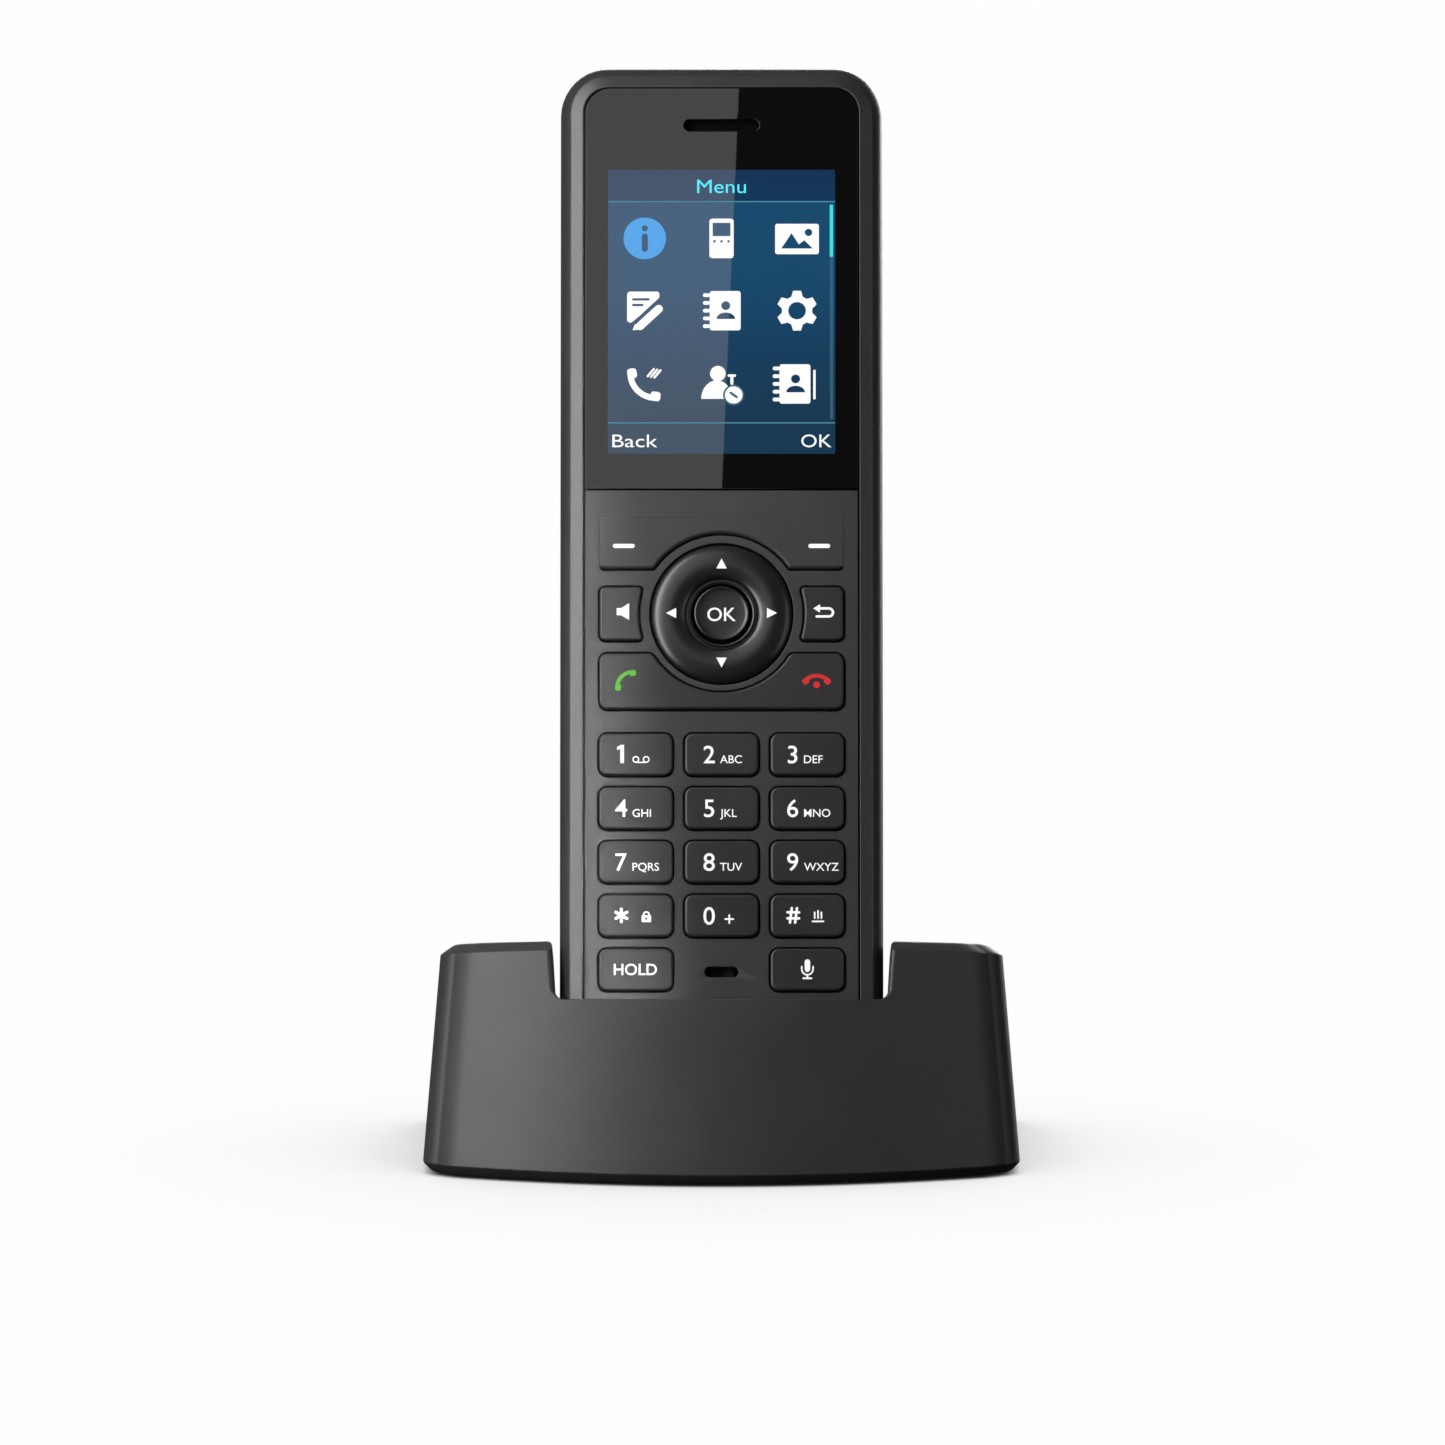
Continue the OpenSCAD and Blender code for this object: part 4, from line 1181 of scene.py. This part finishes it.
# %% [markdown]
# ## Cradle
#
# The cradle is one moulding with a bowed, leaning front, tapered sides and a top that slopes away to
# the back. Its outline changes with height, so it is a loft of plan outlines, with small steps at the
# top and the foot for the rounded edges. The notch is then cut out between the shoulders.

# %% Cradle shape
shell_box_low, shell_box_high = (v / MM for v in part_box("cradle_shell"))
CR_TOP = 39.8
CR_DEPTH = 76.0
CR_BACK = shell_box_high.y
CR_FRONT = CR_BACK - CR_DEPTH
CR_WIDTH = 98.2
FOOT = shell_box_low.z
BOW = 97.0
LEAN = math.tan(math.radians(14))
TAPER = 3.4
PLAN_CORNER = 4.0
PLAN_STEPS = 8
BOW_STEPS = 24
CREASE_OFFSETS = (-6, -4, -2, 0, 2, 4, 6)
TOP_SLOPE = math.tan(math.radians(12))
REAR_SLOPE = math.tan(math.radians(32))
REAR_Z = 14.0
crest_y = CR_FRONT + CR_TOP * LEAN
crease_y = (REAR_Z - CR_TOP + CR_BACK * REAR_SLOPE - crest_y * TOP_SLOPE) / (REAR_SLOPE - TOP_SLOPE)


def plan(z, inset=0.0):
    """Plan outline of the cradle at a height, drawn in by inset."""
    half = CR_WIDTH / 2 - TAPER * z / CR_TOP - inset
    front = CR_FRONT + z * LEAN + inset
    back = CR_BACK - inset
    r = PLAN_CORNER
    side = front + half * half / (2 * BOW) + 0.85 * r
    bow = [(half - r) * i / BOW_STEPS for i in range(-BOW_STEPS, BOW_STEPS + 1)]
    outline = [(x, front + x * x / (2 * BOW)) for x in bow]
    outline += arc(half - r, side, r, -70, 0, PLAN_STEPS)
    creases = [(half, crease_y + d) for d in CREASE_OFFSETS]
    outline += creases
    outline += arc(half - r, back - r, r, 0, 90, PLAN_STEPS) + arc(r - half, back - r, r, 90, 180, PLAN_STEPS)
    outline += [(-x, y) for x, y in reversed(creases)]
    outline += arc(r - half, side, r, 180, 250, PLAN_STEPS)
    return outline


def top_z(y):
    """Height of the cradle's top, with a soft crease between its two slopes."""
    a = CR_TOP - (y - crest_y) * TOP_SLOPE
    b = REAR_Z - (y - CR_BACK) * REAR_SLOPE
    soft = 4.0
    share = min(max(0.5 + 0.5 * (b - a) / soft, 0), 1)
    return b + (a - b) * share - soft * share * (1 - share)


def level_ring(z, inset=0.0):
    return at_height(plan(z, inset), z)


def top_ring(drop, inset):
    """Ring where the sides meet the top, drop below it."""
    ring = []
    for (ax, ay), (bx, by) in zip(plan(0, inset), plan(CR_TOP, inset)):
        z = CR_TOP
        for _ in range(12):
            z = top_z(ay + (by - ay) * z / CR_TOP) - drop
        share = z / CR_TOP
        ring.append((ax + (bx - ax) * share, ay + (by - ay) * share, z))
    return ring


top_steps = [(2.05, 0.0), (1.88, 0.03), (1.74, 0.12), (1.55, 0.32), (0.5, 1.6), (0.25, 1.95),
             (0.08, 2.35), (0.0, 2.9)]
block_rings = [level_ring(FOOT, 1.6), level_ring(FOOT + 0.15, 1.35), level_ring(FOOT + 1.35, 0.12),
               level_ring(FOOT + 1.7), level_ring(6.0)] + [top_ring(drop, inset) for drop, inset in top_steps]


def cradle_block():
    """Loft of the rings, with a cap that follows the two slopes of the top."""
    mesh = loft_mesh("cradle", block_rings)
    skin = bmesh.new()
    skin.from_mesh(mesh)
    skin.faces.ensure_lookup_table()
    count = len(block_rings[0])
    bmesh.ops.delete(skin, geom=[skin.faces[-1]], context="FACES_ONLY")
    skin.verts.ensure_lookup_table()
    base = (len(block_rings) - 1) * count
    corner_points = PLAN_STEPS + 1
    strips = len(CREASE_OFFSETS) - 1
    first = 2 * BOW_STEPS + 1 + corner_points
    last = count - corner_points - 1
    right = [base + first + i for i in range(strips + 1)]
    left = [base + last - i for i in range(strips + 1)]
    for i in range(strips):
        skin.faces.new([skin.verts[v] for v in (right[i], right[i + 1], left[i + 1], left[i])])
    front = [base + i for i in range(first + 1)] + [base + i for i in range(last, count)]
    back = [base + i for i in range(first + strips, last - strips + 1)]
    skin.faces.new([skin.verts[v] for v in front])
    skin.faces.new([skin.verts[v] for v in back])
    skin.to_mesh(mesh)
    skin.free()
    return mesh


print("cradle outline points:", len(block_rings[0]))

# %% [markdown]
# The notch is cut with one tool whose own shape carries all the rounded edges: where it comes out
# through the front and through the top it flares, as a router bit does, and the flare leaves a
# rounded edge behind. The lip under the handset gets a tighter edge than the two shoulders.

# %% Notch tool
SEAT_Y = board_origin.y
LIP_Z = 30.1
LIP_SLOPE = math.tan(math.radians(8))
FLOOR_SLOPE = math.tan(math.radians(14))
bend_y = SEAT_Y + 7
bend_z = LIP_Z - 7 * LIP_SLOPE
NOTCH_LOW = HAND_W / 2 + 0.75
NOTCH_HIGH = HAND_W / 2 + 1.2
NOTCH_CORNER = 1.5
NOTCH_STEPS = 6
OVER_CRADLE = 60
SHOULDER_ROLL = 1.2
LIP_ROLL = 0.3
TOP_ROLL = 1.0
FLOOR_XS = (2, 6, 10, 14, 18, 22)


def notch_section(y):
    """Front view of the notch at depth y, anticlockwise from its floor's left corner."""
    slope = LIP_SLOPE if y < bend_y else FLOOR_SLOPE
    floor = bend_z - (y - bend_y) * slope
    roof = top_z(y)
    low, high, r = NOTCH_LOW, NOTCH_HIGH, NOTCH_CORNER
    right = arc(low - r, floor + r, r, -90, 0, NOTCH_STEPS)
    flare = [(high + TOP_ROLL * (1 - math.cos(math.radians(a))),
              roof - TOP_ROLL + TOP_ROLL * math.sin(math.radians(a))) for a in (0, 22, 45, 68, 90)]
    top = [(high + TOP_ROLL, OVER_CRADLE)]
    side = [(x, floor) for x in FLOOR_XS] + right + flare + top
    return [(-x, z) for x, z in reversed(side)] + side


def front_y(x, z):
    return CR_FRONT + z * LEAN + x * x / (2 * BOW)


def notch_ring(behind, spread):
    """Ring a distance behind the front surface; spread is 0 to 1 of the rolled edge."""
    ring = []
    count = len(notch_section(SEAT_Y))
    middle = count // 2
    for i in range(count):
        y = SEAT_Y
        for _ in range(4):
            section = notch_section(y)
            along_arc = abs(i - middle + 0.5) - len(FLOOR_XS)
            low_part = along_arc < NOTCH_STEPS + 1
            steep = min(max((along_arc - 1) / NOTCH_STEPS, 0), 1)
            roll = LIP_ROLL + (SHOULDER_ROLL - LIP_ROLL) * (steep ** 3 if low_part else 1)
            x, z = grow(section, [spread * roll] * count)[i]
            y = front_y(x, z) + behind * roll
        ring.append((x, y, z))
    return ring


notch_rings = []
for behind, spread in ((-8, 1.0), (0.0, 1.0)):
    notch_rings.append(notch_ring(behind, spread))
for angle in (15, 30, 45, 60, 75, 90):
    notch_rings.append(notch_ring(1 - math.cos(math.radians(angle)), 1 - math.sin(math.radians(angle))))
for y in [bend_y + 0.05, -20, -10, 0, 10, crease_y - 6, crease_y - 3, crease_y, crease_y + 3, crease_y + 6,
          CR_BACK - 1, CR_BACK + 8]:
    if y > max(p[1] for p in notch_rings[-1]) + 0.3:
        notch_rings.append([(x, y, z) for x, z in notch_section(y)])
print("rings of the notch tool:", len(notch_rings))

# %% Cut the cradle
def stood_up(tool):
    """Stands a tool up from the drawing board and keeps it in millimetres."""
    tool.transform(stand_up)
    tool.transform(Matrix.Diagonal((1 / MM, 1 / MM, 1 / MM, 1)))
    return tool


pocket_outline = rounded(0, 24.7, HAND_W + 1.2, 50, 6, 8)
pocket_tool = stood_up(prism("pocket", pocket_outline, -HAND_T - 0.5, 0.5))
pin_tools = []
for node in ("charge_pin_left", "charge_pin_right"):
    low, high = flat_box(node)
    tool = loft_mesh("pin_hole", [[(x, y, z) for x, z in circle((low.x + high.x) / 2, (low.z + high.z) / 2,
                                                                1.25, 24)] for y in (-6.0, 0.5)])
    pin_tools.append(stood_up(tool))
inlet_low, inlet_high = (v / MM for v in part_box("power_inlet"))
inlet_mid = (inlet_low + inlet_high) / 2
inlet_outline = rounded(inlet_mid.x, inlet_mid.z, 9.6, 3.9, 1.5, 6)
inlet_tool = loft_mesh("inlet_hole", [[(x, y, z) for x, z in inlet_outline]
                                      for y in (CR_BACK - 8, CR_BACK + 4)])
plate_tool = loft_mesh("plate_seat", [at_height(plan(FOOT + 1.6, 2.35), z) for z in (-2, FOOT + 1.85)])
notch_tool = loft_mesh("notch", notch_rings)
cradle_mesh = cut(cradle_block(), [notch_tool, pocket_tool, inlet_tool, plate_tool] + pin_tools)
cradle_mesh.name = "cradle_moulding"
cradle = new_piece("cradle_moulding", cradle_mesh, in_place, 35)
dress(cradle, cradle_plastic, "cradle", "cradle", "cradle_shell")
rest_rings = [at_height(grow(rounded(0, 23, 36, 38, 5, 8), by), z) for by, z in
              ((0, -HAND_T - 4.5), (0, -HAND_T - 1.1), (-0.1, -HAND_T - 0.8), (-0.3, -HAND_T - 0.6),
               (-0.6, -HAND_T - 0.5))]
backrest = new_piece("cradle_backrest", loft_mesh("backrest", rest_rings), stand_up)
dress(backrest, cradle_plastic, "cradle", "cradle")
print("cradle faces:", len(cradle.data.polygons))

# %% Feet
feet_low, feet_high = (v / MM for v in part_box("cradle_feet"))
FOOT_RADIUS = 5.0
foot_part = loft_mesh("foot", [at_height(circle(0, 0, r, 32), z) for r, z in
                               ((FOOT_RADIUS - 0.25, 0), (FOOT_RADIUS - 0.08, 0.06), (FOOT_RADIUS, 0.2),
                                (FOOT_RADIUS, FOOT + 0.02))])
foot_places = [(x, y, 0) for x in (feet_low.x + FOOT_RADIUS, feet_high.x - FOOT_RADIUS)
               for y in (feet_low.y + FOOT_RADIUS, feet_high.y - FOOT_RADIUS)]
feet = new_piece("rubber_feet", repeated("feet", foot_part, foot_places, rubber), in_place)
dress(feet, rubber, "cradle", "feet", "cradle_feet")
print("feet:", len(foot_places))

# %% [markdown]
# ## Table and light
#
# The table is one white triangle that glows evenly and darkens only where something stands close
# over it, so the phone gets a soft contact shadow and no edge of the table shows. A narrow strip close
# by on the left gives the bright left rim, and a weak lamp on the right keeps that side from going
# black. Broad lamps from the left front, from above and from behind shape the rest. A thin beam adds
# the light on the left of the face. It leaves out the cradle's mouldings, the feet and the table,
# which it would light too much. One card, close to the glass, gives the long reflection that covers
# the left half of the display. It can't be seen and casts no shadow: only glossy surfaces know about it.

# %% Table
def glowing(name, strength):
    material = bpy.data.materials.new(name)
    material.use_nodes = True
    nodes, links = material.node_tree.nodes, material.node_tree.links
    nodes.clear()
    out = nodes.new("ShaderNodeOutputMaterial")
    glow = nodes.new("ShaderNodeEmission")
    glow.inputs["Strength"].default_value = strength
    links.new(glow.outputs["Emission"], out.inputs["Surface"])
    return material, nodes, links, glow


def table_material():
    """Evenly lit white that only darkens where something stands close over it."""
    material, nodes, links, glow = glowing("white_table", 1.0)
    wide = nodes.new("ShaderNodeAmbientOcclusion")
    wide.inputs["Distance"].default_value = 0.09
    wide.samples = 8
    shade = nodes.new("ShaderNodeValToRGB")
    shade.color_ramp.elements[0].position = 0.0
    shade.color_ramp.elements[0].color = (0.0, 0.0, 0.0, 1)
    shade.color_ramp.elements[1].position = 1.0
    shade.color_ramp.elements[1].color = (0.985, 0.99, 0.985, 1)
    for position, tone in ((0.2, 0.12), (0.45, 0.6), (0.7, 0.87), (0.9, 0.955)):
        shade.color_ramp.elements.new(position).color = (tone, tone, tone, 1)
    links.new(wide.outputs["AO"], shade.inputs["Fac"])
    links.new(shade.outputs["Color"], glow.inputs["Color"])
    return material


def sheet_piece(name, corners, material):
    mesh = bpy.data.meshes.new(name)
    mesh.from_pydata(corners, [], [tuple(range(len(corners)))])
    sheet = bpy.data.objects.new(name, mesh)
    bpy.context.scene.collection.objects.link(sheet)
    mesh.materials.append(material)
    return sheet


TABLE = 30.0
table = sheet_piece("table_top", [(-1.75 * TABLE, -TABLE, 0), (1.75 * TABLE, -TABLE, 0), (0, 2 * TABLE, 0)],
                    table_material())
table.visible_diffuse = False
table.visible_glossy = False

# %% Room
world = bpy.data.worlds.new("white_room")
bpy.context.scene.world = world
world.use_nodes = True
nodes, links = world.node_tree.nodes, world.node_tree.links
nodes.clear()
out = nodes.new("ShaderNodeOutputWorld")
seen = nodes.new("ShaderNodeBackground")
seen.inputs["Color"].default_value = (0.985, 0.99, 0.985, 1)
lighting = nodes.new("ShaderNodeBackground")
lighting.inputs["Color"].default_value = (1, 1, 1, 1)
place = nodes.new("ShaderNodeTexCoord")
split = nodes.new("ShaderNodeSeparateXYZ")
links.new(place.outputs["Generated"], split.inputs["Vector"])


def brightness_along(axis, start, end, dim, bright):
    """Goes from dim to bright as that part of a direction goes from start to end."""
    change = nodes.new("ShaderNodeMapRange")
    for socket, value in (("From Min", start), ("From Max", end), ("To Min", dim), ("To Max", bright)):
        change.inputs[socket].default_value = value
    links.new(split.outputs[axis], change.inputs["Value"])
    return change.outputs["Result"]


room = nodes.new("ShaderNodeMath")
room.operation = "MULTIPLY"
links.new(brightness_along("Y", 0.0, 0.6, 0.07, 0.22), room.inputs[0])
links.new(brightness_along("Z", -0.25, 0.05, 0.1, 1.0), room.inputs[1])
links.new(room.outputs["Value"], lighting.inputs["Strength"])
path = nodes.new("ShaderNodeLightPath")
choose = nodes.new("ShaderNodeMixShader")
links.new(path.outputs["Is Camera Ray"], choose.inputs["Fac"])
links.new(lighting.outputs["Background"], choose.inputs[1])
links.new(seen.outputs["Background"], choose.inputs[2])
links.new(choose.outputs["Shader"], out.inputs["Surface"])
bpy.context.scene.view_settings.view_transform = "Standard"


# %% Lamps and the card
def soft_light(name, place, target, width, height, power, spread=180):
    """Rectangular lamp; spread is the angle of its beam in degrees."""
    lamp = bpy.data.lights.new(name, "AREA")
    lamp.shape = "RECTANGLE"
    lamp.size = width
    lamp.size_y = height
    lamp.energy = power
    lamp.spread = math.radians(spread)
    holder = bpy.data.objects.new(name, lamp)
    bpy.context.scene.collection.objects.link(holder)
    holder.location = place
    holder.visible_camera = False
    holder.rotation_euler = (Vector(target) - Vector(place)).to_track_quat("-Z", "Y").to_euler()
    return holder


def before_face(x, y, away):
    """Point in front of the handset's face; x and y on the face, all in millimetres."""
    return tuple(stand_up @ Vector((x, y, away)))


soft_light("left_strip", (-0.17, -0.16, 0.20), (-0.01, 0, 0.09), 0.10, 0.40, 1.15)
soft_light("left_front", (-1.3, -0.9, 0.9), (0, 0, 0.06), 0.9, 1.2, 6)
soft_light("overhead", (-0.2, 0.1, 1.6), (0, 0, 0), 1.4, 1.4, 1.2)
soft_light("right_fill", (0.48, -0.34, 0.2), (0.02, 0, 0.12), 0.25, 0.4, 0.4)
soft_light("behind", (0.45, 1.3, 0.35), (0, 0, 0.08), 1.2, 0.6, 20)
beam = soft_light("left_beam", before_face(40, 90, 190), before_face(-40, 90, 0), 0.034, 0.165, 0.04, 7)
lit_by_beam = bpy.data.collections.new("lit_by_beam")
for piece in bpy.context.scene.objects:
    if piece.type == "MESH" and not piece.name.startswith(("cradle", "rubber", "table")):
        lit_by_beam.objects.link(piece)
beam.light_linking.receiver_collection = lit_by_beam

glass_normal = -in_axis
mirrored = look - 2 * look.dot(glass_normal) * glass_normal
CARD_AWAY = 0.11
CARD_GLOW = 1.5
CARD_LEFT, CARD_LOW, CARD_HIGH = -70, 70, 190


def card_corner(x, y):
    """Where a glass point's reflection meets the card."""
    return stand_up @ Vector((x, y, 0)) + mirrored * CARD_AWAY


edge_top, edge_low = 3.6, -1.4
card = sheet_piece("soft_card", [card_corner(CARD_LEFT, CARD_LOW), card_corner(edge_low, CARD_LOW),
                                 card_corner(edge_top, CARD_HIGH), card_corner(CARD_LEFT, CARD_HIGH)],
                   glowing("card_glow", CARD_GLOW)[0])
card.visible_camera = False
card.visible_shadow = False
card.visible_diffuse = False
print("lights: 6 and a card")
